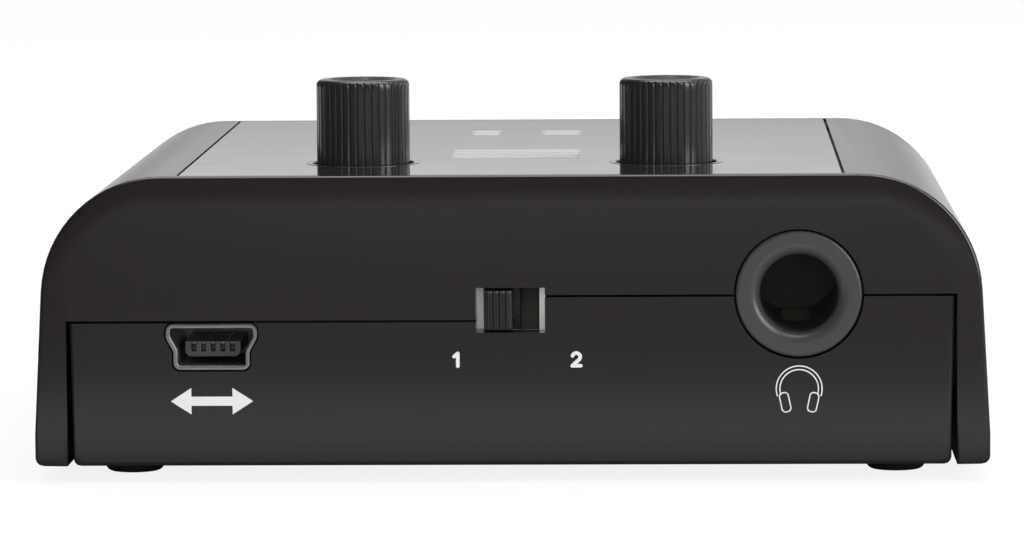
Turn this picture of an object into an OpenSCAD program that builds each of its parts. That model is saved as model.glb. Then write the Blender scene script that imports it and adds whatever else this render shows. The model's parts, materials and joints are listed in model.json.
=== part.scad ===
// Desktop phono preamplifier in a two-part moulded case, with two level dials on top.
// Millimetres, +Z up. The port face looks along -Y and X runs to the right seen from it.
// The origin is the middle of the bounding box, on the surface that the feet stand on.

/* [Case] */
// Width of the case across the foot of its side walls
case_w = 78.8; // [78.6:0.2:96]
// Depth of the case from the port face to the rear face
case_d = 65; // [62:0.5:90]
// Height of the case from its underside to its top face
case_h = 23.95; // [23.5:0.05:30]
// Radius of the shoulders where the top turns into the sides
shoulder_r = 10; // [6:0.5:11]
// Lean of the side walls from upright, in degrees
side_draft = 3.1; // [0:0.1:4]
// Height of the upright strip at the foot of each side wall
skirt_h = 2.5; // [1:0.5:5]
// Thickness of the roof and of the port and rear walls
wall = 2.2; // [1.8:0.1:2.6]
// Thickness of a side wall at its foot
side_wall = 2.75; // [2.2:0.05:3.2]
// Thickness of the floor
floor_t = 2; // [1.8:0.1:2.6]
// Radius of the outer edges of both mouldings
edge_r = 0.35; // [0.2:0.05:0.6]
// Radius along the foot of the case
heel_r = 0.6; // [0.4:0.1:1]
// Width of the bevel that frames the port face and the rear face
rim_w = 2.4; // [1.5:0.1:3]
// How far that bevel falls back at its outer edge
rim_drop = 0.2; // [0:0.05:0.4]

/* [Seams] */
// Gap between the two mouldings along every seam
seam_gap = 0.2; // [0.1:0.05:0.4]
// Extra width of the upright seams at their foot
seam_flare = 0.25; // [0:0.05:0.4]
// Height of the port-side seam above the board, left of the switch
seam_left_up = 4; // [3.9:0.05:4.5]
// Height of the port-side seam above the board, right of the switch
seam_right_up = 6.05; // [5.5:0.05:7]
// Height of the lip that closes the seams from inside
lip_h = 1.2; // [0.6:0.1:2]
// Thickness of that lip
lip_t = 0.9; // [0.6:0.1:1.2]
// Height of the flanges of the base inside the side walls
flange_h = 5; // [3:0.5:6]
// Thickness of those flanges
flange_t = 1.2; // [0.8:0.1:1.6]

/* [Top panel] */
// Distance of the panel's side grooves from the middle
groove_x = 27.4; // [24:0.1:28]
// Width of the groove along each side of the panel
groove_w = 0.2; // [0.2:0.05:0.5]
// Thickness of the panel
panel_t = 0.8; // [0.6:0.1:1]
// Distance of the panel's ends from the port and rear faces
panel_end = 1.3; // [1.2:0.1:3]
// Bevel round the holes that the knobs pass through
hole_bevel = 0.1; // [0.05:0.05:0.4]

/* [Feet and screws] */
// Height of the case's underside above the surface
foot_h = 1.35; // [1:0.05:3]
// Diameter of a foot
foot_d = 4.9; // [4:0.1:8]
// Distance of the feet from the case's sides
foot_side = 7.5; // [7.2:0.1:12]
// Distance of the feet from the port and rear faces
foot_end = 8; // [6:0.5:12]
// Depth of the recess that a foot is glued into
foot_seat = 0.5; // [0.3:0.1:0.8]
// Distance of the case screws from the side walls' inner faces
screw_side = 3.55; // [3.3:0.05:3.65]
// Distance of the case screws from the port and rear faces
screw_end = 20; // [18:0.5:24]
// Diameter of a screw's thread
screw_d = 2.4; // [2:0.1:2.6]
// Length of a screw below its head
screw_l = 11; // [9:0.5:13]
// Diameter of a screw's head
screw_head_d = 4.8; // [4:0.1:5]
// Height of a screw's head
screw_head_h = 1.2; // [0.8:0.1:1.3]
// Diameter of the posts that the screws run through
post_d = 5.2; // [4.8:0.1:5.4]

/* [Circuit board] */
// Room between the tallest piece on the board and the roof
roof_room = 1.1; // [0.6:0.02:1.5]
// Thickness of the board
board_t = 1.6; // [1:0.1:1.6]
// Gap round the board
board_gap = 0.6; // [0.3:0.1:1]

/* [Dials] */
// Gap between the right potentiometer and the headphone jack
pot_gap = 0.3; // [0.2:0.05:0.6]
// Distance of the dials from the port face
knob_in = 14; // [12:0.5:20]
// Diameter of a knob
knob_d = 7.85; // [7:0.05:8.4]
// Height of a knob above the top face
knob_h = 7.1; // [5:0.1:12]
// Depth of a knob's skirt below the top face
knob_skirt = 3.2; // [2.5:0.1:4]
// Diameter of the holes that the knobs pass through
knob_hole_d = 9.2; // [9:0.1:10]
// Number of grooves round a knob
knob_grooves = 40; // [24:1:48]
// Radius of one of those grooves
knob_groove_r = 0.13; // [0.08:0.01:0.2]
// Radius of the rounded edge round a knob's top
knob_round = 0.5; // [0.2:0.05:0.6]
// Width of the flat rim round the dish in a knob's top
knob_rim = 0.4; // [0.2:0.05:0.8]
// Depth of the dish in a knob's top
knob_dish = 0.25; // [0.1:0.05:0.5]
// Diameter of a potentiometer's shaft
shaft_d = 4; // [3:0.1:4.4]
// Depth of the flat on the shaft
shaft_flat = 0.5; // [0.3:0.1:0.8]
// Radial clearance of a shaft in its bushing
shaft_play = 0.05; // [0.03:0.01:0.1]
// Width of a potentiometer
pot_w = 9; // [8.8:0.1:9.2]
// Depth of a potentiometer
pot_d = 9.8; // [9:0.1:11]
// Height of a potentiometer's housing
pot_h = 5.2; // [4.5:0.1:6]

/* [USB port] */
// Distance of the port from the case's left side
usb_side = 14.75; // [13:0.05:20]
// Outer width of the port's shell
usb_w = 7.6; // [7.5:0.1:8]
// Outer height of the port's shell
usb_h = 3.85; // [3.7:0.05:4]
// Depth of the port's shell
usb_d = 9.2; // [8:0.1:10]
// How much narrower each lower side is
usb_step = 0.62; // [0.4:0.02:0.8]
// Thickness of the port's sheet metal
usb_t = 0.38; // [0.25:0.01:0.45]
// Radius of the corners of the port's shell
usb_corner = 0.6; // [0.5:0.05:0.7]
// Gap between the port's shell and the case
usb_gap = 0.1; // [0.1:0.05:0.3]

/* [Source switch] */
// Width of the switch's window
window_w = 5.7; // [5.6:0.1:7]
// Height of the switch's window
window_h = 3.7; // [3.4:0.1:4.2]
// Height of the switch's centre above the board
switch_up = 4.9; // [4.9:0.05:5.3]
// Width of the sliding actuator
slider_w = 2.3; // [2:0.05:2.6]
// Height of the sliding actuator
slider_h = 3.2; // [2.4:0.1:3.3]
// Travel of the sliding actuator
slider_travel = 2; // [1.5:0.1:2]
// How far the actuator stands proud of the port face
slider_out = 0.6; // [0.2:0.1:2]
// Gap between the port wall's lip and the switch's frame
frame_gap = 0.4; // [0.3:0.1:1]

/* [Headphone jack] */
// Distance of the jack from the case's right side
jack_side = 15.7; // [15.2:0.05:16]
// Diameter of the plug that the jack takes, with its clearance
jack_bore = 6.4; // [6.38:0.01:6.5]
// Diameter of the ring round the jack
jack_nose_d = 10.4; // [9.6:0.1:11]
// Gap between that ring and the case
jack_gap = 0.15; // [0.15:0.05:0.5]
// Radius of the rounded mouth of the jack
jack_mouth_r = 1.05; // [0.6:0.05:1.2]
// Radius of the rounded outer edge of the ring
jack_edge_r = 0.3; // [0.1:0.05:0.5]
// Length of the bore that guides the plug behind the mouth
jack_guide = 8; // [6:0.5:9]
// Width of the jack's housing
jack_w = 12.2; // [12:0.1:12.8]
// Height of the jack's housing, with its axis halfway up
jack_body_h = 12.3; // [12.2:0.02:13.2]
// Depth of the jack's housing
jack_d = 24; // [22:0.5:26]

/* [Phono jacks] */
// Distance between the two jacks of a pair
phono_pitch = 14; // [13:0.5:14]
// Distance of the row of rear connectors from the side walls' inner faces
rear_side = 4.4; // [4.2:0.1:5]
// Extra width of a pair's block beyond the distance between its jacks
block_extra = 10.4; // [10.4:0.1:11.4]
// Wall of that block over the collars
block_over = 0.5; // [0.3:0.1:1]
// Outer diameter of a phono sleeve
phono_d = 8.3; // [8:0.05:8.4]
// Thickness of a phono sleeve
phono_t = 0.55; // [0.3:0.05:0.7]
// How far a phono sleeve stands out of the rear face
phono_out = 8.2; // [7:0.1:10]
// Diameter of the collar round a phono sleeve
collar_d = 10.2; // [9.5:0.1:11]
// How far that collar stands out of the rear face
collar_out = 1; // [0.5:0.1:1.5]
// Inner diameter of the sprung tube that grips the plug's pin
phono_pin_d = 3.3; // [3.2:0.05:3.5]

/* [Ground terminal] */
// Width of the terminal's bracket
bracket_w = 7; // [6:0.5:8]
// Diameter of the terminal's threaded post
ground_d = 4; // [3:0.5:4]
// Diameter of the thumb nut
thumb_d = 8.6; // [7.5:0.1:9]
// Height of the thumb nut
thumb_h = 4; // [3:0.1:5]
// Number of grooves round the thumb nut
thumb_grooves = 24; // [16:1:32]
// Height of the hex nut that fixes the post
hex_h = 1.8; // [1.2:0.1:2.4]
// Thickness of the washer
washer_t = 0.8; // [0.5:0.1:1]

/* [Hidden] */
$fn = 48;

// Places along Y and Z that the pieces share
front_y = slider_out - (slider_out + case_d + phono_out) / 2;
back_y = front_y + case_d;
top_z = foot_h + case_h;
roof_z = case_h - wall - panel_t / 2;
board_h = roof_z - roof_room - jack_body_h;
board_z = foot_h + board_h;
seam_low = board_h + seam_left_up;
seam_high = board_h + seam_right_up;
inner_x = case_w / 2 - side_wall;
foot_x = case_w / 2 - foot_side;
screw_x = inner_x - screw_side;
usb_x = usb_side - case_w / 2;
jack_x = case_w / 2 - jack_side;
jack_h = board_h + jack_body_h / 2;
jack_z = foot_h + jack_h;
knob_x = jack_x - jack_w / 2 - pot_gap - pot_w / 2;
knob_y = front_y + knob_in;
knob_top = top_z + knob_h;
knob_foot = top_z - knob_skirt;
knob_roof = 1.6;
knob_land = 0.15;
usb_z = board_z + usb_h / 2;
usb_face = 0.1;
usb_bend_up = 0.75;
usb_bend_down = 0.4;
usb_contact_z = usb_z + 0.1;
contact_pitch = 0.8;
contact_w = 0.4;
tongue_in = 1.4;
tongue_t = 1.3;
tongue_groove = 0.25;
notch_l = 1;
notch_h = 0.6;
switch_h = board_h + switch_up;
switch_z = foot_h + switch_h;
thin = 0.01;
over = 1;
wall_gap = 0.3;
slip = 0.15;

// Rear faces of what stands behind the port wall and the rear wall
port_back = front_y + wall + wall_gap;
block_back = back_y - wall - wall_gap;

// Sheet metal, pins and small clearances
sheet = 0.4;
pin_w = 0.8;
pin_below = 1.2;
lip_play = 0.1;
head_gap = 0.2;
screw_hole_d = screw_d + 0.5;
board_front = wall + lip_t + board_gap;
switch_in = wall + lip_t + frame_gap;

// Potentiometers: depth of the rotor's pocket and length of the bushing
rotor_room = 2.4;
bushing_h = 2.6;

// Switch: the frame's slot takes the actuator and its travel
// and is taller than the window, so that only its two sides show there
slot_w = slider_w + slider_travel + 2 * slip;
slot_h = window_h + 2 * slip;
slider_plate_w = slider_w + 1.2;
slider_plate_h = slot_h + 0.8;
slider_plate_t = 1.2;
frame_w = 9.6;
frame_h = slider_plate_h + 2 * slip + 2 * sheet;
frame_d = 4.4;
base_t = 1;
leg_w = 1.2;
switch_pitch = 2;
row_pitch = 1.8;
row_reach = [1.2, 2.8];

// Headphone jack: width of its springs, room beside them and floor of their well
spring_w = 2.4;
spring_room = 0.8;
jack_floor = 1.2;

// Rear row: ground terminal, output pair and input pair, with equal gaps between them
block_w = phono_pitch + block_extra;
block_h = jack_body_h / 2 + collar_d / 2 + block_over;
rear_gap = inner_x - rear_side - block_w - bracket_w / 2;
input_x = inner_x - rear_side - block_w / 2;
output_x = input_x - block_w - rear_gap;
ground_x = rear_side + bracket_w / 2 - inner_x;

// Phono jacks
block_d = 10;
pocket_d = 4;
input_left_x = input_x - phono_pitch / 2;
input_right_x = input_x + phono_pitch / 2;
output_left_x = output_x - phono_pitch / 2;
output_right_x = output_x + phono_pitch / 2;
pin_tube_t = 0.3;
pin_tube_r = phono_pin_d / 2 + pin_tube_t;

// Ground terminal, measured out from the rear face
hex_af = 7;
ground_out = phono_out - 0.2;
ground_play = 0.05;
bracket_t = 0.8;
chamfer = 0.3;

// Electronics: plan size, height and leads on one side of each chip, and places behind the port face
codec_size = [10.2, 5.3, 1.8];
codec_leads = 14;
codec_in = 22;
codec_offset = 2;
amp_size = [5, 4, 1.5];
amp_leads = 4;
amp_in = 19;
amp_offset = 2;
lead_l = 1;
lead_t = 0.2;
lead_out = 0.4;
crystal_l = 6;
crystal_w = 3.8;
crystal_rim = 0.4;
crystal_h = 3.6;
crystal_foot = 0.6;
crystal_in = 29;
crystal_offset = 5;
cap_big = 6.3;
cap_small = 5;
cap_h = 8;
cap_groove = 0.3;
cap_bead_z = 1.4;
cap_bead = 0.4;
cap_pitch = 8;
cap_in = 33;
cap_x = -12;

// Steps of an edge radius: how far in from the face, and how far inside the outline
edge_steps = [for (a = [0:30:90]) [edge_r * (1 - cos(a)), edge_r * (1 - sin(a))]];

// Right half of an arch, from its foot to its top. d insets the sides and the top.
function half_arch(half_w, h, r, draft, heel, d) =
    let (cz = h - r,
         cx = half_w - (r + sin(draft) * (cz - skirt_h)) / cos(draft))
    concat(
        [for (a = [-90:30:0]) [half_w - d - heel + heel * cos(a), heel + heel * sin(a)]],
        [[half_w - d, skirt_h]],
        [for (i = [0:16]) let (a = draft + (90 - draft) * i / 16)
            [cx + (r - d) * cos(a), cz + (r - d) * sin(a)]]);

// The same outline with its mirror image
function mirrored(half) = concat(half, [for (i = [len(half) - 1:-1:0]) [-half[i].x, half[i].y]]);

function cover_outline(d) = mirrored(half_arch(case_w / 2, case_h, shoulder_r, side_draft, heel_r, d));

// Outline of the base between the side walls, inset by d
function base_outline(d) = mirrored(concat(
    [for (a = [-90:30:0]) [inner_x - seam_gap - seam_flare - d - heel_r + heel_r * cos(a),
                           d + heel_r + heel_r * sin(a)]],
    [[inner_x - seam_gap - d, seam_high]]));

// Stands a flat shape upright in the XZ plane and runs it from y0 to y1
module upright(y0, y1) {
    translate([0, y1, 0]) rotate([90, 0, 0]) linear_extrude(height = y1 - y0) children();
}

// A round bar along Y from y0 to y1
module bar(x, y0, y1, z, r) {
    translate([x, y0, z]) rotate([-90, 0, 0]) cylinder(h = y1 - y0, r = r);
}

// The port-side opening of the cover, under the stepped seam
module stepped_opening() {
    x = inner_x + thin;
    low = seam_low + seam_gap / 2;
    high = seam_high + seam_gap / 2;
    polygon([[-x, -over], [x, -over], [x, high], [0, high], [0, low], [-x, low]]);
}

// Outline of the USB port's shell, grown by g
module usb_outline(g) {
    w = usb_w / 2;
    h = usb_h / 2;
    offset(r = usb_corner + g, $fn = 24) offset(delta = -usb_corner)
        polygon([[-w, h], [-w, usb_bend_up], [-w + usb_step, -usb_bend_down], [-w + usb_step, -h],
                 [w - usb_step, -h], [w - usb_step, -usb_bend_down], [w, usb_bend_up], [w, h]]);
}

// Everything that passes through the port wall
module port_cuts() {
    upright(front_y - over, front_y + board_front)
        translate([usb_x, board_h + usb_h / 2]) usb_outline(usb_gap);
    bar(jack_x, front_y - over, front_y + board_front, jack_h, jack_nose_d / 2 + jack_gap);
    translate([-window_w / 2, front_y - over, switch_h - window_h / 2])
        cube([window_w, over + board_front, window_h]);
}

// Everything that passes through the rear wall
module rear_cuts() {
    for (x = [input_left_x, input_right_x, output_left_x, output_right_x])
        bar(x, back_y - wall - lip_t - over, back_y + over, jack_h, collar_d / 2 + slip);
    bar(ground_x, back_y - wall - lip_t - over, back_y + over, jack_h, ground_d / 2 + slip);
}

// Puts its children at each of the four case screws
module at_screws() {
    for (x = [-screw_x, screw_x], y = [front_y + screw_end, back_y - screw_end])
        translate([x, y, 0]) children();
}

// Thin slice of the cover, a distance in from the end at end_y and inset by d
module cover_slice(end_y, inward, distance, d) {
    y = end_y + inward * (distance + thin / 2);
    upright(y - thin / 2, y + thin / 2) polygon(cover_outline(d));
}

// Outer form of the cover: an arch whose ends have a bevelled rim and rounded edges
module cover_block() {
    end_l = rim_drop + edge_r;
    upright(front_y + end_l, back_y - end_l) polygon(cover_outline(0));
    for (end = [[front_y, 1], [back_y, -1]]) hull() {
        cover_slice(end[0], end[1], 0, rim_w);
        for (s = edge_steps) cover_slice(end[0], end[1], rim_drop + s[0], s[1]);
    }
}

// Arch-shaped cover: its side walls run down outside the base
module upper_cover() {
    color("#2a282a") translate([0, 0, foot_h]) difference() {
        cover_block();
        // the hollow leaves a boss over each screw
        difference() {
            upright(front_y + wall, back_y - wall) translate([0, -over])
                polygon(mirrored(half_arch(inner_x, roof_z + over, shoulder_r - wall, 0, 0, 0)));
            at_screws() translate([0, 0, board_h]) cylinder(h = case_h, d = post_d);
        }
        at_screws() cylinder(h = screw_head_h + head_gap + screw_l, d = screw_d);
        upright(front_y - over, front_y + wall + over) stepped_opening();
        translate([-inner_x - thin, back_y - wall - over, -over])
            cube([2 * (inner_x + thin), wall + 2 * over, over + jack_h]);
        port_cuts();
        rear_cuts();
        translate([-groove_x - groove_w / 2, front_y + panel_end, case_h - panel_t])
            cube([2 * groove_x + groove_w, case_d - 2 * panel_end, panel_t + over]);
        for (x = [-knob_x, knob_x])
            translate([x, knob_y, case_h / 2]) cylinder(h = case_h, d = knob_hole_d + 0.4);
    }
}

// Lip along a seam at height h, from x0 to x1, behind the wall whose inner face is at y
module seam_lip(x0, x1, y, side, h) {
    translate([x0, y, h]) rotate([90, 0, 90]) linear_extrude(height = x1 - x0)
        polygon([[-side * thin, -2 * lip_h], [side * lip_t, -2 * lip_h], [side * lip_t, lip_h],
                 [side * lip_play, lip_h], [side * lip_play, -seam_gap / 2], [-side * thin, -seam_gap / 2]]);
}

// Tray that carries the board, with the lower part of the port wall and the rear wall
module base_shell() {
    side = inner_x - seam_gap - seam_flare;
    color("#2f2d30") translate([0, 0, foot_h]) difference() {
        union() {
            difference() {
                hull() for (s = edge_steps, y = [front_y + s[0], back_y - s[0] - thin])
                    upright(y, y + thin) polygon(base_outline(s[1]));
                // open tray behind the walls
                translate([-side + flange_t, front_y + wall, floor_t])
                    cube([2 * (side - flange_t), case_d - 2 * wall, case_h]);
                translate([-case_w, front_y + wall, flange_h]) cube([2 * case_w, case_d - 2 * wall, case_h]);
                // tops of the port wall, stepped, and of the rear wall
                translate([-case_w, front_y - over, seam_low - seam_gap / 2])
                    cube([case_w, wall + 2 * over, case_h]);
                translate([-over, front_y - over, seam_high - seam_gap / 2])
                    cube([case_w, wall + 2 * over, case_h]);
                translate([-case_w, back_y - wall - over, jack_h - seam_gap])
                    cube([2 * case_w, wall + 2 * over, case_h]);
            }
            seam_lip(-side + flange_t, 0, front_y + wall, 1, seam_low);
            seam_lip(0, side - flange_t, front_y + wall, 1, seam_high);
            seam_lip(-side + flange_t, side - flange_t, back_y - wall, -1, jack_h);
            at_screws() cylinder(h = board_h - board_t, d = post_d);
        }
        port_cuts();
        rear_cuts();
        // room behind the lips for the jacks and for the ground terminal's bracket
        translate([jack_x - jack_w / 2 - slip, front_y + wall, board_h - board_t])
            cube([jack_w + 2 * slip, board_front, case_h]);
        for (x = [input_x, output_x])
            translate([x - block_w / 2 - slip, back_y - wall - lip_t - over, board_h - board_t])
                cube([block_w + 2 * slip, lip_t + over, case_h]);
        translate([ground_x - bracket_w / 2 - slip, back_y - wall - lip_t - over, board_h - board_t])
            cube([bracket_w + 2 * slip, lip_t + over, case_h]);
        at_screws() {
            translate([0, 0, -over]) cylinder(h = board_h + over, d = screw_hole_d);
            translate([0, 0, -over])
                cylinder(h = over + screw_head_h + head_gap, d = screw_head_d + 2 * slip);
        }
        for (x = [-foot_x, foot_x], y = [front_y + foot_end, back_y - foot_end])
            translate([x, y, -over]) cylinder(h = over + foot_seat, d = foot_d + slip);
    }
}

// Gloss panel let into the top, flush with it
module top_panel() {
    color("#1d1c1e") translate([0, 0, top_z - panel_t]) difference() {
        translate([-groove_x + groove_w / 2, front_y + panel_end, 0])
            cube([2 * groove_x - groove_w, case_d - 2 * panel_end, panel_t]);
        for (x = [-knob_x, knob_x]) translate([x, knob_y, 0]) {
            translate([0, 0, -over]) cylinder(h = panel_t + 2 * over, d = knob_hole_d);
            translate([0, 0, panel_t - hole_bevel])
                cylinder(h = 2 * hole_bevel, d1 = knob_hole_d, d2 = knob_hole_d + 4 * hole_bevel);
        }
    }
}

// Grooved knob with a rounded top edge, pushed onto its shaft from above
module knob(x) {
    r = knob_d / 2;
    h = knob_top - knob_foot;
    rim_r = r - knob_round;
    color("#262528") translate([x, knob_y, knob_foot]) difference() {
        rotate_extrude() {
            polygon([[0, 0], [r, 0], [r, h - knob_round], [rim_r, h], [rim_r - knob_rim, h],
                     [rim_r - knob_rim - 2 * knob_dish, h - knob_dish], [0, h - knob_dish]]);
            translate([rim_r, h - knob_round]) circle(r = knob_round);
        }
        for (i = [1:knob_grooves]) rotate(i * 360 / knob_grooves) translate([r, 0, -over])
            cylinder(h = over + h - knob_round - knob_land, r = knob_groove_r, $fn = 16);
        difference() {
            translate([0, 0, -over]) cylinder(h = over + h - knob_roof, d = shaft_d);
            translate([shaft_d / 2 - shaft_flat, -shaft_d, 0]) cube([shaft_d, 2 * shaft_d, h]);
        }
    }
}

// Moulded housing of a potentiometer, with a round pocket for its rotor
module pot_housing(x) {
    color("#3b3a38") translate([x, knob_y, board_z]) difference() {
        translate([-pot_w / 2, -pot_d / 2, 0]) cube([pot_w, pot_d, pot_h]);
        translate([0, 0, pot_h - rotor_room]) cylinder(h = rotor_room + over, d = pot_w - 1.6);
    }
}

// Sheet-metal bracket with the bushing, folded down over the housing to the board
module pot_bracket(x) {
    color("#c9c9c6") translate([x, knob_y, board_z]) difference() {
        union() {
            translate([-pot_w / 2, -pot_d / 2 - sheet, pot_h]) cube([pot_w, pot_d + 2 * sheet, sheet]);
            for (side = [-1, 1]) translate([-pot_w / 4, side * (pot_d + sheet) / 2 - sheet / 2, 0])
                cube([pot_w / 2, sheet, pot_h + sheet]);
            translate([0, 0, pot_h]) cylinder(h = bushing_h, d = shaft_d + 2.8);
        }
        translate([0, 0, pot_h - over]) cylinder(h = bushing_h + 2 * over, d = shaft_d + 2 * shaft_play);
    }
}

// Potentiometer shaft with its rotor disc and the flat that the knob grips
module pot_shaft(x) {
    rotor_z = board_z + pot_h - rotor_room + slip;
    color("#d8d6cf") translate([x, knob_y, 0]) difference() {
        union() {
            translate([0, 0, rotor_z]) cylinder(h = rotor_room - 2 * slip, d = pot_w - 2.2);
            translate([0, 0, rotor_z]) cylinder(h = knob_top - knob_roof - rotor_z, d = shaft_d);
        }
        translate([shaft_d / 2 - shaft_flat, -shaft_d, knob_foot])
            cube([shaft_d, 2 * shaft_d, knob_top]);
    }
}

// Three bent terminals of a potentiometer, soldered through the board
module pot_terminals(x) {
    reach = 1.6;
    color("#dcdcda") for (i = [-1:1])
    translate([x + i * 2.5 - pin_w / 2, knob_y + pot_d / 2 + sheet, board_z]) {
        translate([0, 0, 1]) cube([pin_w, reach, sheet]);
        translate([0, reach - sheet, -board_t - pin_below])
            cube([pin_w, sheet, board_t + pin_below + 1 + sheet]);
    }
}

// Printed circuit board between the posts of the base and those of the cover
module circuit_board() {
    side = inner_x - seam_gap - seam_flare - flange_t - board_gap;
    color("#1f5b3a") translate([0, 0, board_z - board_t]) difference() {
        translate([-side, front_y + board_front, 0])
            cube([2 * side, case_d - 2 * board_front, board_t]);
        at_screws() translate([0, 0, -over]) cylinder(h = board_t + 2 * over, d = screw_hole_d);
    }
}

// Folded steel shell of the USB port, closed at the back
module usb_shell() {
    color("#c4c4c0") difference() {
        upright(front_y + usb_face, front_y + usb_face + usb_d) translate([usb_x, usb_z]) usb_outline(0);
        upright(front_y, front_y + usb_face + usb_d - usb_t) translate([usb_x, usb_z]) usb_outline(-usb_t);
    }
}

// Puts its children at the left edge of each of the port's five contacts, in the shell's front plane
module at_contacts() {
    for (i = [-2:2])
        translate([usb_x + i * contact_pitch - contact_w / 2, front_y + usb_face, usb_contact_z]) children();
}

// Moulded tongue of the USB port, held by its foot at the back of the shell,
// with a groove for each contact and a notch below the contact's free end
module usb_tongue() {
    w = 4.6;
    t = tongue_t;
    color("#4b4a4c") difference() {
        upright(front_y + usb_face + tongue_in, front_y + usb_face + usb_d - usb_t)
            translate([usb_x, usb_contact_z + tongue_groove - t / 2])
            polygon([[-w / 2, t / 2], [-w / 2, -t / 4], [-w / 2 + t / 4, -t / 2],
                     [w / 2 - t / 4, -t / 2], [w / 2, -t / 4], [w / 2, t / 2]]);
        at_contacts() {
            cube([contact_w, usb_d - usb_t - 1, over]);
            translate([0, 0, -notch_h]) cube([contact_w, tongue_in + notch_l, notch_h + thin]);
        }
    }
}

// Five contacts lying in the grooves of the tongue
module usb_contacts() {
    color("#d9b36a") at_contacts() translate([0, tongue_in + 0.2, 0])
        cube([contact_w, usb_d - usb_t - tongue_in - 1.2, tongue_groove - 0.05]);
}

// Plated frame of the slide switch, with the slot for the actuator and four legs
module switch_frame() {
    color("#e2e2e0") translate([0, front_y + switch_in, switch_z]) {
        difference() {
            translate([-frame_w / 2, 0, -frame_h / 2]) cube([frame_w, frame_d, frame_h]);
            translate([-frame_w / 2 + sheet, sheet, -frame_h / 2 + sheet])
                cube([frame_w - 2 * sheet, frame_d, frame_h - 2 * sheet]);
            translate([-slot_w / 2, -over, -slot_h / 2]) cube([slot_w, 2 * over, slot_h]);
        }
        for (x = [-frame_w / 2, frame_w / 2 - sheet])
            translate([x, sheet, board_z - switch_z - pin_below - board_t])
                cube([sheet, leg_w, switch_z - board_z + pin_below + board_t - frame_h / 2 + sheet]);
    }
}

// Insulating plate that closes the back of the switch
module switch_base() {
    color("#5a4a38") translate([-frame_w / 2, front_y + switch_in + frame_d, switch_z - frame_h / 2])
        cube([frame_w, base_t, frame_h]);
}

// Ridged actuator with the plate that keeps it behind the slot
module switch_slider() {
    x = -slot_w / 2 + slip;
    y = front_y - slider_out;
    color("#39383b") {
        difference() {
            translate([x, y, switch_z - slider_h / 2])
                cube([slider_w, switch_in + slider_out + sheet + slip, slider_h]);
            for (i = [1:3]) translate([x + i * slider_w / 4, y, switch_z - slider_h])
                cylinder(h = 2 * slider_h, r = 0.16, $fn = 16);
        }
        translate([x + (slider_w - slider_plate_w) / 2, y + slider_out + switch_in + sheet + slip,
                   switch_z - slider_plate_h / 2])
            cube([slider_plate_w, slider_plate_t, slider_plate_h]);
    }
}

// Two rows of bent terminals behind the switch, soldered through the board
module switch_terminals() {
    color("#dcdcda") for (i = [-1:1], row = [0, 1]) {
        reach = row_reach[row];
        z = switch_z + (row - 0.5) * row_pitch;
        translate([i * switch_pitch - pin_w / 2, front_y + switch_in + frame_d + base_t, 0]) {
            translate([0, 0, z]) cube([pin_w, reach, sheet]);
            translate([0, reach - sheet, board_z - board_t - pin_below])
                cube([pin_w, sheet, z - board_z + board_t + pin_below + sheet]);
        }
    }
}

// Round nose of the headphone jack, with a rounded outer edge; it shows in the port face
module jack_nose() {
    nose_r = jack_nose_d / 2;
    translate([jack_x, front_y, jack_z]) rotate([-90, 0, 0]) rotate_extrude() {
        polygon([[0, 0], [nose_r - jack_edge_r, 0], [nose_r, jack_edge_r],
                 [nose_r, port_back - front_y + thin], [0, port_back - front_y + thin]]);
        translate([nose_r - jack_edge_r, jack_edge_r]) circle(r = jack_edge_r);
    }
}

// Moulded body of the headphone jack
module jack_housing() {
    r = jack_bore / 2;
    guide_end = front_y + jack_mouth_r + jack_guide;
    chamber_end = port_back + jack_d - 2;
    color("#343336") difference() {
        union() {
            jack_nose();
            translate([jack_x - jack_w / 2, port_back, board_z])
                cube([jack_w, jack_d, jack_body_h]);
        }
        bar(jack_x, front_y - over, guide_end + over, jack_z, r);
        // wider chamber that the springs move in, open at the top and with a well below
        bar(jack_x, guide_end, chamber_end, jack_z, r + spring_room);
        // rounded mouth
        translate([jack_x, front_y, jack_z]) rotate([-90, 0, 0]) rotate_extrude() difference() {
            translate([0, -over]) square([r + jack_mouth_r, over + jack_mouth_r]);
            translate([r + jack_mouth_r, jack_mouth_r]) circle(r = jack_mouth_r);
        }
        translate([jack_x - spring_w / 2 - spring_room / 2, guide_end, jack_z])
            cube([spring_w + spring_room, chamber_end - guide_end, jack_w]);
        translate([jack_x - spring_w / 2 - spring_room / 2, guide_end, board_z + jack_floor])
            cube([spring_w + spring_room, 8, jack_z - board_z]);
    }
}

// Strip of metal seen from its edge, bent along points in the YZ plane
module bent_strip(points) {
    polygon(concat(points, [for (i = [len(points) - 1:-1:0]) points[i] + [0, sheet]]));
}

// Tip spring above the bore and sleeve spring below it
module jack_springs() {
    y = front_y + jack_mouth_r + jack_guide;
    back = port_back + jack_d - 2;
    color("#d8d6cf") translate([jack_x - spring_w / 2, 0, 0])
    rotate([90, 0, 90]) linear_extrude(height = spring_w) {
        // the tip spring runs forward from the back wall and dips into the bore
        translate([0, jack_z + jack_bore / 2])
            bent_strip([[back, 1.2], [y + 7, 0.6], [y + 4.5, -1.1], [y + 2, 0.7]]);
        // the sleeve spring rises from the floor of its well
        translate([0, board_z + jack_floor])
            bent_strip([[y + 7, 0], [y + 6, 0], [y + 3, 2], [y + 1, 0.9]]);
    }
}

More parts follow.
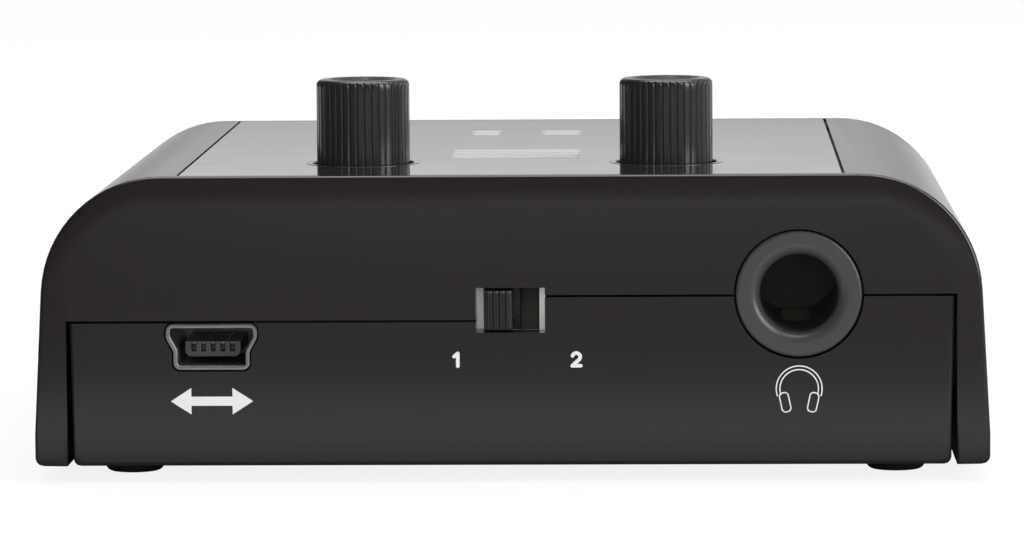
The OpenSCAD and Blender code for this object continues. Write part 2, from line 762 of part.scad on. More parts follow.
// Black block that carries one pair of phono jacks on the board
module jack_block(x) {
    color("#242325") difference() {
        translate([x - block_w / 2, block_back - block_d, board_z])
            cube([block_w, block_d, block_h]);
        for (side = [-1, 1])
            bar(x + side * phono_pitch / 2, block_back - pocket_d, block_back + over, jack_z,
                phono_d / 2 - phono_t);
        for (side = [-1, 0, 1])
            translate([x + side * block_w / 3 - 1, block_back - block_d - over, jack_z + 2])
                cube([2, over + 2, case_h]);
    }
}

// Coloured insulator of one phono jack: the collar and the core inside the sleeve
module phono_insulator(x, colour) {
    r = phono_d / 2 - phono_t;
    core_end = back_y + phono_out - 0.7;
    color(colour) translate([x, 0, jack_z]) rotate([-90, 0, 0]) rotate_extrude() polygon([
        [pin_tube_r, block_back - pocket_d], [r, block_back - pocket_d], [r, block_back],
        [collar_d / 2, block_back], [collar_d / 2, back_y + collar_out - chamfer],
        [collar_d / 2 - chamfer, back_y + collar_out], [r, back_y + collar_out],
        [r, core_end - chamfer], [r - chamfer, core_end], [pin_tube_r, core_end]]);
}

// Plated sleeve of one phono jack, rolled in at its mouth
module phono_sleeve(x) {
    r = phono_d / 2;
    color("#d6d6d2") translate([x, 0, jack_z]) rotate([-90, 0, 0]) rotate_extrude() {
        translate([r - phono_t, back_y + collar_out])
            square([phono_t, phono_out - collar_out - phono_t / 2]);
        translate([r - phono_t / 2, back_y + phono_out - phono_t / 2]) circle(d = phono_t, $fn = 24);
    }
}

// Sprung tube that grips the plug's pin
module phono_contact(x) {
    y0 = block_back - pocket_d;
    slit = 0.4;
    color("#d9b36a") difference() {
        translate([x, 0, jack_z]) rotate([-90, 0, 0]) rotate_extrude()
            translate([phono_pin_d / 2, y0]) square([pin_tube_t, back_y + phono_out - 1 - y0]);
        translate([x - slit / 2, back_y, jack_z]) cube([slit, phono_out, phono_pin_d]);
    }
}

// Threaded post of the ground terminal, with its head inside the case
module ground_post() {
    y0 = block_back - bracket_t;
    y1 = back_y + ground_out;
    r = ground_d / 2;
    head_r = bracket_w / 2;
    head_h = 2.4;
    color("#cfcfca") translate([ground_x, 0, jack_z]) rotate([-90, 0, 0]) rotate_extrude() polygon([
        [0, y0 - head_h], [head_r - chamfer, y0 - head_h], [head_r, y0 - head_h + chamfer], [head_r, y0],
        [r, y0], [r, y1 - chamfer], [r - chamfer, y1], [0, y1]]);
}

// Angle bracket that joins the post to the board
module ground_bracket() {
    x0 = ground_x - bracket_w / 2;
    foot_l = 8;
    color("#bdbdb8") difference() {
        union() {
            translate([x0, block_back - bracket_t, board_z])
                cube([bracket_w, bracket_t, jack_z - board_z + bracket_w / 2]);
            translate([x0, block_back - foot_l, board_z]) cube([bracket_w, foot_l, bracket_t]);
        }
        bar(ground_x, block_back - 2 * bracket_t, block_back + over, jack_z, ground_d / 2);
    }
}

// Hex nut that clamps the post to the rear wall
module ground_hex_nut() {
    color("#d6d6d2") difference() {
        translate([ground_x, back_y, jack_z]) rotate([-90, 0, 0])
            cylinder(h = hex_h, d = hex_af / cos(30), $fn = 6);
        bar(ground_x, back_y - over, back_y + hex_h + over, jack_z, ground_d / 2);
    }
}

// Captive washer that travels with the thumb nut and doesn't turn
module ground_washer() {
    y0 = back_y + hex_h;
    color("#c9c9c6") difference() {
        bar(ground_x, y0, y0 + washer_t, jack_z, thumb_d / 2 - chamfer);
        bar(ground_x, y0 - over, y0 + washer_t + over, jack_z, ground_d / 2 + ground_play);
    }
}

// Grooved thumb nut that clamps the turntable's ground lead
module ground_thumb_nut() {
    y0 = back_y + hex_h + washer_t;
    y1 = y0 + thumb_h;
    r = thumb_d / 2;
    hole_r = ground_d / 2 + ground_play;
    groove_r = 0.3;
    color("#dcdcd8") difference() {
        translate([ground_x, 0, jack_z]) rotate([-90, 0, 0]) rotate_extrude() polygon([
            [hole_r, y0], [r - chamfer, y0], [r, y0 + chamfer],
            [r, y1 - chamfer], [r - chamfer, y1], [hole_r, y1]]);
        for (i = [1:thumb_grooves]) translate([ground_x, y0 - over, jack_z]) rotate([-90, 0, 0])
            rotate(i * 360 / thumb_grooves) translate([r + groove_r / 3, 0, 0])
                cylinder(h = thumb_h + 2 * over, r = groove_r, $fn = 16);
    }
}

// Small chip with two rows of leads
module chip(x, y, size, leads) {
    pitch = size.x / leads;
    translate([x, y, board_z]) {
        translate([-size.x / 2, -size.y / 2, lead_t / 2]) cube(size);
        for (i = [0.5:leads], side = [-1, 1])
            translate([-size.x / 2 + (i - 0.25) * pitch, side * (size.y / 2 + lead_out) - lead_l / 2, 0])
                cube([pitch / 2, lead_l, lead_t]);
    }
}

// Converter chip between the audio signals and the USB port
module codec_chip() {
    color("#2b2b2d") chip(usb_x + codec_offset, front_y + codec_in, codec_size, codec_leads);
}

// Two amplifier chips, one for each channel's equalised input
module preamp_chips() {
    color("#2b2b2d") for (x = [input_left_x, input_right_x])
        chip(x - amp_offset, back_y - amp_in, amp_size, amp_leads);
}

// Crystal that clocks the converter, in its metal can
module crystal() {
    color("#cfcfca") translate([usb_x - crystal_offset, front_y + crystal_in, board_z]) {
        hull() for (x = [0, crystal_l]) translate([x, 0, 0])
            cylinder(h = crystal_foot, d = crystal_w + 2 * crystal_rim, $fn = 32);
        hull() for (x = [0, crystal_l]) translate([x, 0, 0])
            cylinder(h = crystal_h, d = crystal_w, $fn = 32);
    }
}

// Electrolytic capacitors, each with a groove near its foot
module electrolytic_capacitors() {
    color("#23314f") for (i = [0:4]) {
        r = (i < 2 ? cap_big : cap_small) / 2;
        translate([cap_x + i * cap_pitch, front_y + cap_in, board_z]) rotate_extrude() polygon([
            [0, 0], [r, 0], [r, cap_bead_z - cap_bead], [r - cap_groove, cap_bead_z],
            [r, cap_bead_z + cap_bead], [r, cap_h - cap_bead], [r - cap_bead, cap_h], [0, cap_h]]);
    }
}

// Four self-tapping screws that hold base, board and cover together
module case_screws() {
    seat = foot_h + screw_head_h + head_gap;
    recess_l = 2.8;
    recess_w = 0.6;
    color("#8f8f8c") at_screws() difference() {
        union() {
            translate([0, 0, seat - screw_head_h]) cylinder(h = screw_head_h, d = screw_head_d);
            translate([0, 0, seat - thin]) cylinder(h = screw_l + thin, d = screw_d);
        }
        // cross recess of the head
        for (a = [0, 90]) rotate(a) translate([-recess_l / 2, -recess_w / 2, seat - screw_head_h - over])
            cube([recess_l, recess_w, over + 0.7]);
    }
}

// Glued rubber foot with a rounded tread
module foot(x, y) {
    r = foot_d / 2;
    color("#1b1b1c") translate([x, y, 0]) rotate_extrude() union() {
        polygon([[0, 0], [r - 0.5, 0], [r, 0.5], [r, foot_h + foot_seat], [0, foot_h + foot_seat]]);
        translate([r - 0.5, 0.5]) circle(r = 0.5, $fn = 24);
    }
}

upper_cover();
base_shell();
top_panel();
knob(-knob_x);  // left_knob
knob(knob_x);  // right_knob
pot_housing(-knob_x);  // left_pot_housing
pot_housing(knob_x);  // right_pot_housing
pot_bracket(-knob_x);  // left_pot_bracket
pot_bracket(knob_x);  // right_pot_bracket
pot_shaft(-knob_x);  // left_pot_shaft
pot_shaft(knob_x);  // right_pot_shaft
pot_terminals(-knob_x);  // left_pot_terminals
pot_terminals(knob_x);  // right_pot_terminals
circuit_board();
usb_shell();
usb_tongue();
usb_contacts();
switch_frame();
switch_base();
switch_slider();
switch_terminals();
jack_housing();
jack_springs();
jack_block(input_x);  // input_jack_block
jack_block(output_x);  // output_jack_block
phono_sleeve(input_left_x);  // input_left_sleeve
phono_sleeve(input_right_x);  // input_right_sleeve
phono_sleeve(output_left_x);  // output_left_sleeve
phono_sleeve(output_right_x);  // output_right_sleeve
phono_insulator(input_left_x, "#e9e7e2");  // input_left_insulator
phono_insulator(input_right_x, "#b3202a");  // input_right_insulator
phono_insulator(output_left_x, "#e9e7e2");  // output_left_insulator
phono_insulator(output_right_x, "#b3202a");  // output_right_insulator
phono_contact(input_left_x);  // input_left_contact
phono_contact(input_right_x);  // input_right_contact
phono_contact(output_left_x);  // output_left_contact
phono_contact(output_right_x);  // output_right_contact
ground_post();
ground_bracket();
ground_hex_nut();
ground_washer();
ground_thumb_nut();
codec_chip();
preamp_chips();
crystal();
electrolytic_capacitors();
case_screws();
foot(-foot_x, front_y + foot_end);  // front_left_foot
foot(foot_x, front_y + foot_end);  // front_right_foot
foot(-foot_x, back_y - foot_end);  // rear_left_foot
foot(foot_x, back_y - foot_end);  // rear_right_foot
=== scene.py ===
"""Desktop phono preamplifier: its finishes, its finest moulded forms and a studio round it.

Sizes are written in millimetres, and scale_mm turns them to metres where they enter a mesh. Only
the paper and the soft boxes of the studio are given in metres.
"""
import json
from math import cos, pi, radians, sin

import bmesh
import bpy
import numpy as np
from mathutils import Quaternion, Vector
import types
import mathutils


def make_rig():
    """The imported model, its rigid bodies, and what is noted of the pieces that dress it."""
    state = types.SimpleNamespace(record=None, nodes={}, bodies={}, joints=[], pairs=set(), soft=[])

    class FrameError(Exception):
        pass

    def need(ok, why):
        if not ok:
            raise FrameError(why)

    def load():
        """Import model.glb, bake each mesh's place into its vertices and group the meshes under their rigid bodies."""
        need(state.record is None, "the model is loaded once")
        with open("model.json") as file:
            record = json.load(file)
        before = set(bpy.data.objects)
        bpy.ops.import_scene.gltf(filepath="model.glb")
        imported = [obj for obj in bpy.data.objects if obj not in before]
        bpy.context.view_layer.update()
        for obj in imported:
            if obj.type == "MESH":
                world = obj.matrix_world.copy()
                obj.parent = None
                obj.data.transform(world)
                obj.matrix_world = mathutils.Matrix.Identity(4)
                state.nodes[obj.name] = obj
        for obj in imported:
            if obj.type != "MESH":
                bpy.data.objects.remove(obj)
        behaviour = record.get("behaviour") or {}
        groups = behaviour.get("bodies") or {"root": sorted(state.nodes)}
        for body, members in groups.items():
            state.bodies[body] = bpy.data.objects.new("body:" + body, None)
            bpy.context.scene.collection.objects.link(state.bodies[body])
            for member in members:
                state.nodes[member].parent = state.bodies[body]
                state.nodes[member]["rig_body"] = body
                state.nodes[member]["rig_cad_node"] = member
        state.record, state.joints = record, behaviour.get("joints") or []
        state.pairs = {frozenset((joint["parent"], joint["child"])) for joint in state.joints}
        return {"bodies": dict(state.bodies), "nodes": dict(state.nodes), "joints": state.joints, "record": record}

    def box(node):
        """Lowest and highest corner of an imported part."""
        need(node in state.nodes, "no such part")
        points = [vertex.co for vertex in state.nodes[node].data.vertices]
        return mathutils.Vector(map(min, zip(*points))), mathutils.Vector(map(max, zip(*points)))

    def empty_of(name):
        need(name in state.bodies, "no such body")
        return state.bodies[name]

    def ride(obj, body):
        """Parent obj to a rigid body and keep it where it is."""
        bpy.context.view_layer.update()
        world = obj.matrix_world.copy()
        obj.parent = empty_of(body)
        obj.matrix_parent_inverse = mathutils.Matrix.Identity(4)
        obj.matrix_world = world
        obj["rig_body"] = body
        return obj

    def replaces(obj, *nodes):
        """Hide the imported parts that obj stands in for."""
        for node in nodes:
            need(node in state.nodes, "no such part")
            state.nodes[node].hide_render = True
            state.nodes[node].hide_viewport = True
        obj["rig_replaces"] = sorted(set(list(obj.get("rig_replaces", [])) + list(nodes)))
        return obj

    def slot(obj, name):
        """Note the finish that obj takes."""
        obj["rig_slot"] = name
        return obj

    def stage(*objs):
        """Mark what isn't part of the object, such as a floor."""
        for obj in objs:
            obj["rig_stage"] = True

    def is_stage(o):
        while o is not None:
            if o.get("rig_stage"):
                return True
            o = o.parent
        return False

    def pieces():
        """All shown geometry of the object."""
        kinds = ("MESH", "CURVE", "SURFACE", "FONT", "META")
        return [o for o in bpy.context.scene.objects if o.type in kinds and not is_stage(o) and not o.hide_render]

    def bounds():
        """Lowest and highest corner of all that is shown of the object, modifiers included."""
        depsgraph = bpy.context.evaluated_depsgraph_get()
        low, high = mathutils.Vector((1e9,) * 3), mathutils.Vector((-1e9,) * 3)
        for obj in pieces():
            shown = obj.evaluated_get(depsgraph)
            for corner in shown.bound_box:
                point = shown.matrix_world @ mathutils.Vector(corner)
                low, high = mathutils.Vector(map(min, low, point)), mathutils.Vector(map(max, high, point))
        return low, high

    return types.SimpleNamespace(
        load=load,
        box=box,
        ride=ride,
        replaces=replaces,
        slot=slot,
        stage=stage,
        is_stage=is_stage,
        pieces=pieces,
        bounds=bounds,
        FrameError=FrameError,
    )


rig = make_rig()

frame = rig.load()
cad_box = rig.bounds()
scale_mm = 0.001

# ---------------------------------------------------------------- Camera
# A long lens stands well in front of the port face, a little to its right and above the top.
# It looks slightly down, so that the top shows as a narrow bright band behind the face.
camera_place = Vector((14.9, -473.3, 61.1)) * scale_mm
camera_aim = Vector((0.17, -36.3, 17.07)) * scale_mm
camera_roll = radians(-0.41)
lens_mm = 188.2
sensor_mm = 36

camera = bpy.data.objects.new("camera", bpy.data.cameras.new("camera"))
camera.data.lens = lens_mm
camera.data.sensor_width = sensor_mm
camera.data.clip_start = 10 * scale_mm
camera.location = camera_place
facing = (camera_aim - camera_place).to_track_quat("-Z", "Y")
camera.rotation_mode = "QUATERNION"
camera.rotation_quaternion = facing @ Quaternion((0, 0, 1), camera_roll)
bpy.context.scene.collection.objects.link(camera)
bpy.context.scene.camera = camera
bpy.context.scene.view_settings.view_transform = "Standard"


# ---------------------------------------------------------------- Studio
# A white sweep of paper under soft boxes. In gloss and metal the paper shows painted light and shade:
# bright behind the object and at its right, and dim in front of it and to the left, toward the dark room.
def linear(code):
    """sRGB hex colour, such as "#242325", as linear red, green, blue and alpha."""
    share = np.array([int(code[i:i + 2], 16) for i in (1, 3, 5)]) / 255
    rgb = np.where(share > 0.04045, ((share + 0.055) / 1.055) ** 2.4, share / 12.92)
    return (*rgb.tolist(), 1.0)


def add(tree, kind, inputs=None, stops=(), **settings):
    """Adds one node with its properties; inputs gives sockets a value, or an output to link.

    Stops are for a colour ramp of greys: each is a position and a level.
    """
    made = tree.nodes.new("ShaderNode" + kind)
    for name, value in settings.items():
        setattr(made, name, value)
    for name, value in (inputs or {}).items():
        if isinstance(value, bpy.types.NodeSocket):
            tree.links.new(value, made.inputs[name])
        else:
            made.inputs[name].default_value = value
    for i, (position, level) in enumerate(stops):
        stop = made.color_ramp.elements[i] if i < 2 else made.color_ramp.elements.new(position)
        stop.position = position
        stop.color = (level, level, level, 1)
    return made


paper_white = "#f4f4f4"
paper_size = 6.0
paper_drop = 0.00005
shadow_share = 0.14
# stretches of the paper over which its painted brightness in gloss changes
strip_y = (-0.105, -0.045)
far_y = (-0.3, -0.37)
left_x = (-0.16, -0.05)
right_x = (-0.03, 0.25)
beside_y = (-0.06, -0.01)
behind_y = (0.12, 0.22)
painted_case_shadow_edge = 0.004
dim_left = 0.12

paper_mesh = bpy.data.meshes.new("paper")
half = paper_size / 2
paper_mesh.from_pydata(
    [(x * half, y * half, -paper_drop) for x, y in ((-1, -1), (1, -1), (1, 1), (-1, 1))],
    [], [(0, 1, 2, 3)])
paper = bpy.data.objects.new("paper", paper_mesh)
bpy.context.scene.collection.objects.link(paper)
paper_finish = bpy.data.materials.new("matt_white_paper")
paper_finish.use_nodes = True
tree = paper_finish.node_tree
tree.nodes.clear()
rays = add(tree, "LightPath").outputs
place = add(tree, "TexCoord").outputs["Object"]
axes = add(tree, "SeparateXYZ", {0: place}).outputs
# painted light in front: gloss sees a painted bright strip close to the object, with a painted
# shadow of the object at its foot, and bright paper again far ahead; both fade out to the left
near = add(tree, "MapRange", {"Value": axes["Y"], "From Min": strip_y[0], "From Max": strip_y[1]})
strip_glow = add(tree, "ValToRGB", {"Fac": near.outputs["Result"]},
                 stops=((0.1, 0.24), (0.3, 0.85), (0.7, 0.85), (1, 0.3)))
far = add(tree, "MapRange", {"Value": axes["Y"], "From Min": far_y[0], "From Max": far_y[1],
                             "To Max": 0.5})
ahead = add(tree, "MixRGB", {"Fac": 1.0, "Color1": strip_glow.outputs["Color"],
                             "Color2": far.outputs["Result"]}, blend_type="ADD")
left = add(tree, "MapRange", {"Value": axes["X"], "From Min": left_x[0], "From Max": left_x[1],
                              "To Min": dim_left})
lit_ahead = add(tree, "MixRGB", {"Fac": 1.0, "Color1": ahead.outputs["Color"],
                                 "Color2": left.outputs["Result"]}, blend_type="MULTIPLY")
# painted light: beside the object the paper brightens to the right, and behind it all of it is bright
right = add(tree, "MapRange", {"Value": axes["X"], "From Min": right_x[0], "From Max": right_x[1]})
side_glow = add(tree, "ValToRGB", {"Fac": right.outputs["Result"]}, stops=((0, 0.03), (1, 0.55)))
beside = add(tree, "MapRange", {"Value": axes["Y"], "From Min": beside_y[0], "From Max": beside_y[1]})
round_about = add(tree, "MixRGB", {"Fac": beside.outputs["Result"],
                                   "Color1": lit_ahead.outputs["Color"],
                                   "Color2": side_glow.outputs["Color"]})
behind = add(tree, "MapRange", {"Value": axes["Y"], "From Min": behind_y[0], "From Max": behind_y[1]})
open_glow = add(tree, "MixRGB", {"Fac": behind.outputs["Result"],
                                 "Color1": round_about.outputs["Color"],
                                 "Color2": (0.95, 0.95, 0.95, 1)})
# painted shadow: in gloss, the paper under the case is painted dark, fading out past its edge
past_case = []
for axis, half_case in (("X", cad_box[1][0]), ("Y", -cad_box[0][1])):
    aside = add(tree, "Math", {0: axes[axis]}, operation="ABSOLUTE")
    past = add(tree, "MapRange", {"Value": aside.outputs[0], "From Min": half_case - painted_case_shadow_edge,
                                  "From Max": half_case + painted_case_shadow_edge})
    past_case.append(past.outputs["Result"])
outside_painted_shadow = add(tree, "Math", {0: past_case[0], 1: past_case[1]}, operation="MAXIMUM")
glow = add(tree, "MixRGB", {"Fac": 1.0, "Color1": open_glow.outputs["Color"],
                            "Color2": outside_painted_shadow.outputs[0]}, blend_type="MULTIPLY")
matt = add(tree, "BsdfDiffuse", {"Color": linear(paper_white)})
white = add(tree, "Emission", {"Color": (1, 1, 1, 1), "Strength": 1.0})
# painted light: what gloss sees of the paper is an emission set by place, not lit by the lamps
painted_gloss_light = add(tree, "Emission", {"Color": glow.outputs["Color"], "Strength": 1.0})
direct = add(tree, "Math", {0: rays["Is Camera Ray"], 1: rays["Is Transmission Ray"]},
             operation="MAXIMUM")
kept = add(tree, "Math", {0: direct.outputs[0], 1: 1 - shadow_share}, operation="MULTIPLY")
lit = add(tree, "MixShader", {0: kept.outputs[0], 1: matt.outputs[0], 2: white.outputs[0]})
both = add(tree, "MixShader", {0: rays["Is Glossy Ray"], 1: lit.outputs[0],
                               2: painted_gloss_light.outputs[0]})
add(tree, "OutputMaterial", {"Surface": both.outputs[0]})
paper.data.materials.append(paper_finish)
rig.stage(paper)

# The world is white to the eye. Gloss sees a backdrop with a bright band low behind the object,
# and the dark room behind the camera and at the left. Both go by the parts of a unit direction.
world = bpy.data.worlds.new("studio")
bpy.context.scene.world = world
world.use_nodes = True
tree = world.node_tree
tree.nodes.clear()
ambient = 0.34
room_y = (-0.75, 0.1)
room_x = (-0.45, -0.12)
rays = add(tree, "LightPath").outputs
aim = add(tree, "SeparateXYZ", {0: add(tree, "TexCoord").outputs["Generated"]}).outputs
backdrop = add(tree, "ValToRGB", {"Fac": aim["Z"]}, stops=(
    (0.0, 0.6), (0.04, 0.36), (0.068, 0.44), (0.083, 1.0), (0.1, 1.0), (0.14, 0.6), (0.6, 0.4)))
room = add(tree, "MapRange", {"Value": aim["Y"], "From Min": room_y[0], "From Max": room_y[1],
                              "To Min": 0.06})
aside = add(tree, "MapRange", {"Value": aim["X"], "From Min": room_x[0], "From Max": room_x[1],
                               "To Min": dim_left})
seen = add(tree, "Math", {0: room.outputs["Result"], 1: aside.outputs["Result"]},
           operation="MULTIPLY")
gloss = add(tree, "Mix", {0: 1.0, 6: backdrop.outputs["Color"], 7: seen.outputs[0]},
            data_type="RGBA", blend_type="MULTIPLY")
to_eye = add(tree, "Math", {0: rays["Is Camera Ray"], 1: rays["Is Transmission Ray"]},
             operation="MAXIMUM")
soft = add(tree, "Mix", {0: rays["Is Glossy Ray"], 6: (ambient, ambient, ambient, 1),
                         7: gloss.outputs[2]}, data_type="RGBA")
shown = add(tree, "Mix", {0: to_eye.outputs[0], 6: soft.outputs[2], 7: (1, 1, 1, 1)},
            data_type="RGBA")
sky = add(tree, "Background", {"Color": shown.outputs[2], "Strength": 1.0})
add(tree, "OutputWorld", {"Surface": sky.outputs[0]})

# Soft boxes: name, centre in metres, width, height and power in watts; each looks at the object.
# The front box only fills: it is flagged off, so that no gloss shows it.
for lamp_name, lamp_place, lamp_w, lamp_h, power in (
        ("top_box", (0.1, 0.15, 1.1), 1.2, 1.0, 12.0),
        ("right_box", (0.87, -0.5, 0.5), 0.5, 0.9, 8.0),
        ("front_box", (0.15, -1.3, 0.25), 0.8, 0.4, 12.0)):
    lamp = bpy.data.objects.new(lamp_name, bpy.data.lights.new(lamp_name, "AREA"))
    lamp.data.shape = "RECTANGLE"
    lamp.data.size = lamp_w
    lamp.data.size_y = lamp_h
    lamp.data.energy = power
    lamp.location = lamp_place
    lamp.rotation_euler = (-Vector(lamp_place)).to_track_quat("-Z", "Y").to_euler()
    lamp.visible_camera = False
    lamp.visible_glossy = lamp_name != "front_box"
    bpy.context.scene.collection.objects.link(lamp)


# ---------------------------------------------------------------- Case
# Cover and base are injection moulded in black ABS. Their moulds are spark eroded, which leaves
# an even fine grain: soft dim reflections head on, and a strong sheen where seen at a slant.
def new_finish(name, code, roughness, metallic=0.0, ior=1.5):
    """A material with one Principled surface; returns it, its tree, that node and the place."""
    made = bpy.data.materials.new(name)
    made.use_nodes = True
    nodes = made.node_tree.nodes
    shader = nodes["Principled BSDF"]
    shader.inputs["Base Color"].default_value = linear(code)
    shader.inputs["Roughness"].default_value = roughness
    shader.inputs["Metallic"].default_value = metallic
    shader.inputs["IOR"].default_value = ior
    return made, made.node_tree, shader, add(made.node_tree, "TexCoord").outputs["Object"]


def per_metre(pattern_mm):
    """Scale of a noise whose features are that many millimetres apart."""
    return 1 / (pattern_mm * scale_mm)


def vary(tree, shader, place, socket, pattern_mm, *stops):
    """Lets a socket of the shader wander with noise of that spacing, through a grey ramp."""
    noise = add(tree, "TexNoise", {"Vector": place, "Scale": per_metre(pattern_mm), "Detail": 3.0})
    levels = add(tree, "ValToRGB", {"Fac": noise.outputs["Fac"]}, stops=stops)
    tree.links.new(levels.outputs["Color"], shader.inputs[socket])


def grain(tree, shader, place, pattern_mm, depth_mm, strength=1.0):
    """Raises a fine grain of that spacing and depth on the shader's normal."""
    noise = add(tree, "TexNoise", {"Vector": place, "Scale": per_metre(pattern_mm), "Detail": 2.0})
    bump = add(tree, "Bump", {"Height": noise.outputs["Fac"], "Distance": depth_mm * scale_mm,
                              "Strength": strength})
    tree.links.new(bump.outputs["Normal"], shader.inputs["Normal"])


slot_of = {part["node"]: part["material_slot"] for part in frame["record"]["subparts"]}


def settle(piece, node):
    """The piece rides with the body of the node it stands for, hides it and takes its slot."""
    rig.ride(piece, frame["nodes"][node]["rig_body"])
    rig.replaces(piece, node)
    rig.slot(piece, slot_of[node])


weld_gap = 0.0001
flat_angle = radians(0.5)
crease_angle = radians(32)
edge_angle = radians(40)


def dress(node, material, edge_mm=0.0):
    """Stands in for a node with a welded copy of it: smooth faces, creases where it turns sharply."""
    made = bpy.data.objects.new(node + "_shell", frame["nodes"][node].data.copy())
    bpy.context.scene.collection.objects.link(made)
    form = bmesh.new()
    form.from_mesh(made.data)
    bmesh.ops.remove_doubles(form, verts=form.verts, dist=weld_gap * scale_mm)
    bmesh.ops.dissolve_limit(form, angle_limit=flat_angle, verts=form.verts, edges=form.edges)
    form.to_mesh(made.data)
    form.free()
    made.data.shade_smooth()
    made.data.set_sharp_from_angle(angle=crease_angle)
    made.data.materials.clear()
    made.data.materials.append(material)
    if edge_mm:
        bevel = made.modifiers.new("soft_edges", "BEVEL")
        bevel.width = edge_mm * scale_mm
        bevel.segments = 2
        bevel.limit_method = "ANGLE"
        bevel.angle_limit = edge_angle
    even = made.modifiers.new("even_shade", "WEIGHTED_NORMAL")
    even.keep_sharp = True
    even.weight = 100
    settle(made, node)


moulded_abs, tree, shader, place = new_finish("grained_black_abs", "#191518", 0.17, ior=1.53)
vary(tree, shader, place, "Roughness", 9, (0.3, 0.165), (0.7, 0.175))
# the real grain is about a tenth of a millimetre, too fine to show, and is drawn twice as coarse
grain(tree, shader, place, 0.22, 0.003)
dress("upper_cover", moulded_abs)
dress("base_shell", moulded_abs)

# ---------------------------------------------------------------- Top panel
# A cast acrylic sheet, black and polished, stuck into the cover between two fine grooves.
# Head on it is a black mirror; from the port side it shows little but the bright backdrop.
gloss_acrylic, tree, shader, place = new_finish("polished_black_acrylic", "#262527", 0.08, ior=1.49)
vary(tree, shader, place, "Roughness", 14, (0.3, 0.06), (0.75, 0.1))
grain(tree, shader, place, 8, 0.004, 0.5)
dress("top_panel", gloss_acrylic, edge_mm=0.08)

# ---------------------------------------------------------------- Dials
# Each knob is moulded in satin black ABS with fine upright grooves, a rounded top edge and a
# shallow dish, and is pushed onto the flat of its shaft from above.
def unit(vectors):
    """Rows of vectors at length one."""
    return vectors / np.linalg.norm(vectors, axis=-1, keepdims=True)


least_round = 0.001


def rounded(corners, radii, steps=5, closed=True):
    """Outline whose corners give way to arcs: each is tangent to both sides of its corner.

    The arc's centre lies on the bisector, radius / sin(half the corner's angle) from the corner,
    and the arc turns through 180 degrees less that angle. Open outlines keep both end points.
    """
    corner = np.asarray(corners, float)
    radius = np.broadcast_to(np.asarray(radii, float), len(corner))
    turning = slice(None) if closed else slice(1, -1)
    before = unit((np.roll(corner, 1, 0) - corner)[turning])
    after = unit((np.roll(corner, -1, 0) - corner)[turning])
    r = np.maximum(radius[turning], least_round)[:, None]
    half_angle = np.arccos(np.clip((before * after).sum(1), -1, 1))[:, None] / 2
    centre = corner[turning] + unit(before + after) * r / np.sin(half_angle)
    start = corner[turning] + before * r / np.tan(half_angle)
    sweep = ((pi - 2 * half_angle) * np.linspace(0, 1, steps))[:, :, None]
    out_of_centre = ((start - centre) / r)[:, None, :]
    arcs = centre[:, None, :] + r[:, :, None] * (out_of_centre * np.cos(sweep)
                                                 - before[:, None, :] * np.sin(sweep))
    arcs = arcs.reshape(-1, 2)
    return arcs if closed else np.vstack([corner[:1], arcs, corner[-1:]])


def turned(profile, turn, centre, along="z", shrink=0.0):
    """Turned form: profile rows are radius and height, turn the angles round the axis.

    Point = centre + (radius - shrink) * (cos turn, sin turn) + height along the axis, where
    shrink may vary with row and angle. The axis runs up, or to the rear with along="y".
    """
    radius = profile[:, :1] - shrink
    across = radius * np.cos(turn)
    aside = radius * np.sin(turn)
    up = profile[:, 1:] + 0 * turn
    parts = (across, aside, up) if along == "z" else (across, up, aside)
    return np.stack(parts, -1) + np.asarray(centre, float)


seam_gap = 0.0002
speck = 0.00001
fold_angle = radians(35)


def surface(name, material, *grids):
    """One piece from grids of points in millimetres. Welding closes its seams and its poles."""
    points, faces, count = [], [], 0
    for grid in grids:
        rows, columns = grid.shape[:2]
        index = count + np.arange(rows * columns).reshape(rows, columns)
        quads = np.stack([index[:-1, :-1], index[:-1, 1:], index[1:, 1:], index[1:, :-1]], -1)
        faces.append(quads.reshape(-1, 4))
        points.append(grid.reshape(-1, 3) * scale_mm)
        count += rows * columns
    mesh = bpy.data.meshes.new(name)
    mesh.from_pydata(np.vstack(points).tolist(), [], np.vstack(faces).tolist())
    form = bmesh.new()
    form.from_mesh(mesh)
    bmesh.ops.remove_doubles(form, verts=form.verts, dist=seam_gap * scale_mm)
    bmesh.ops.dissolve_degenerate(form, dist=speck * scale_mm, edges=form.edges)
    loose = [vert for vert in form.verts if not vert.link_faces]
    bmesh.ops.delete(form, geom=loose, context="VERTS")
    bmesh.ops.recalc_face_normals(form, faces=form.faces)
    form.to_mesh(mesh)
    form.free()
    mesh.shade_smooth()
    mesh.set_sharp_from_angle(angle=fold_angle)
    mesh.materials.append(material)
    made = bpy.data.objects.new(name, mesh)
    bpy.context.scene.collection.objects.link(made)
    return made


def whole_turn(steps):
    """Angles of a full turn, its first repeated at the end so that welding closes the seam."""
    return np.linspace(0, 2 * pi, steps + 1)


def box_of(node):
    """Lowest corner, highest corner and middle of a node, in millimetres."""
    low, high = (np.array(corner) / scale_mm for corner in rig.box(node))
    return low, high, (low + high) / 2


knob_grooves = 40
knob_groove_share = 0.34
knob_groove_depth = 0.1
knob_groove_top = 0.12
knob_groove_fade = 0.2
knob_round = 0.5
knob_foot_round = 0.12
knob_rim = 0.45
knob_dish = 0.28
knob_dish_slope = 0.7
shaft_fit = 2.03
shaft_roof = 1.6
steps_per_groove = 14
wall_foot = 0.15
wall_rows = 24

# satin ABS: narrow soft lights down the ribs, and next to no colour of its own
satin_abs, tree, shader, place = new_finish("satin_black_abs", "#1f1d1e", 0.2, ior=1.53)
vary(tree, shader, place, "Roughness", 3, (0.3, 0.18), (0.7, 0.24))
grain(tree, shader, place, 0.16, 0.003)

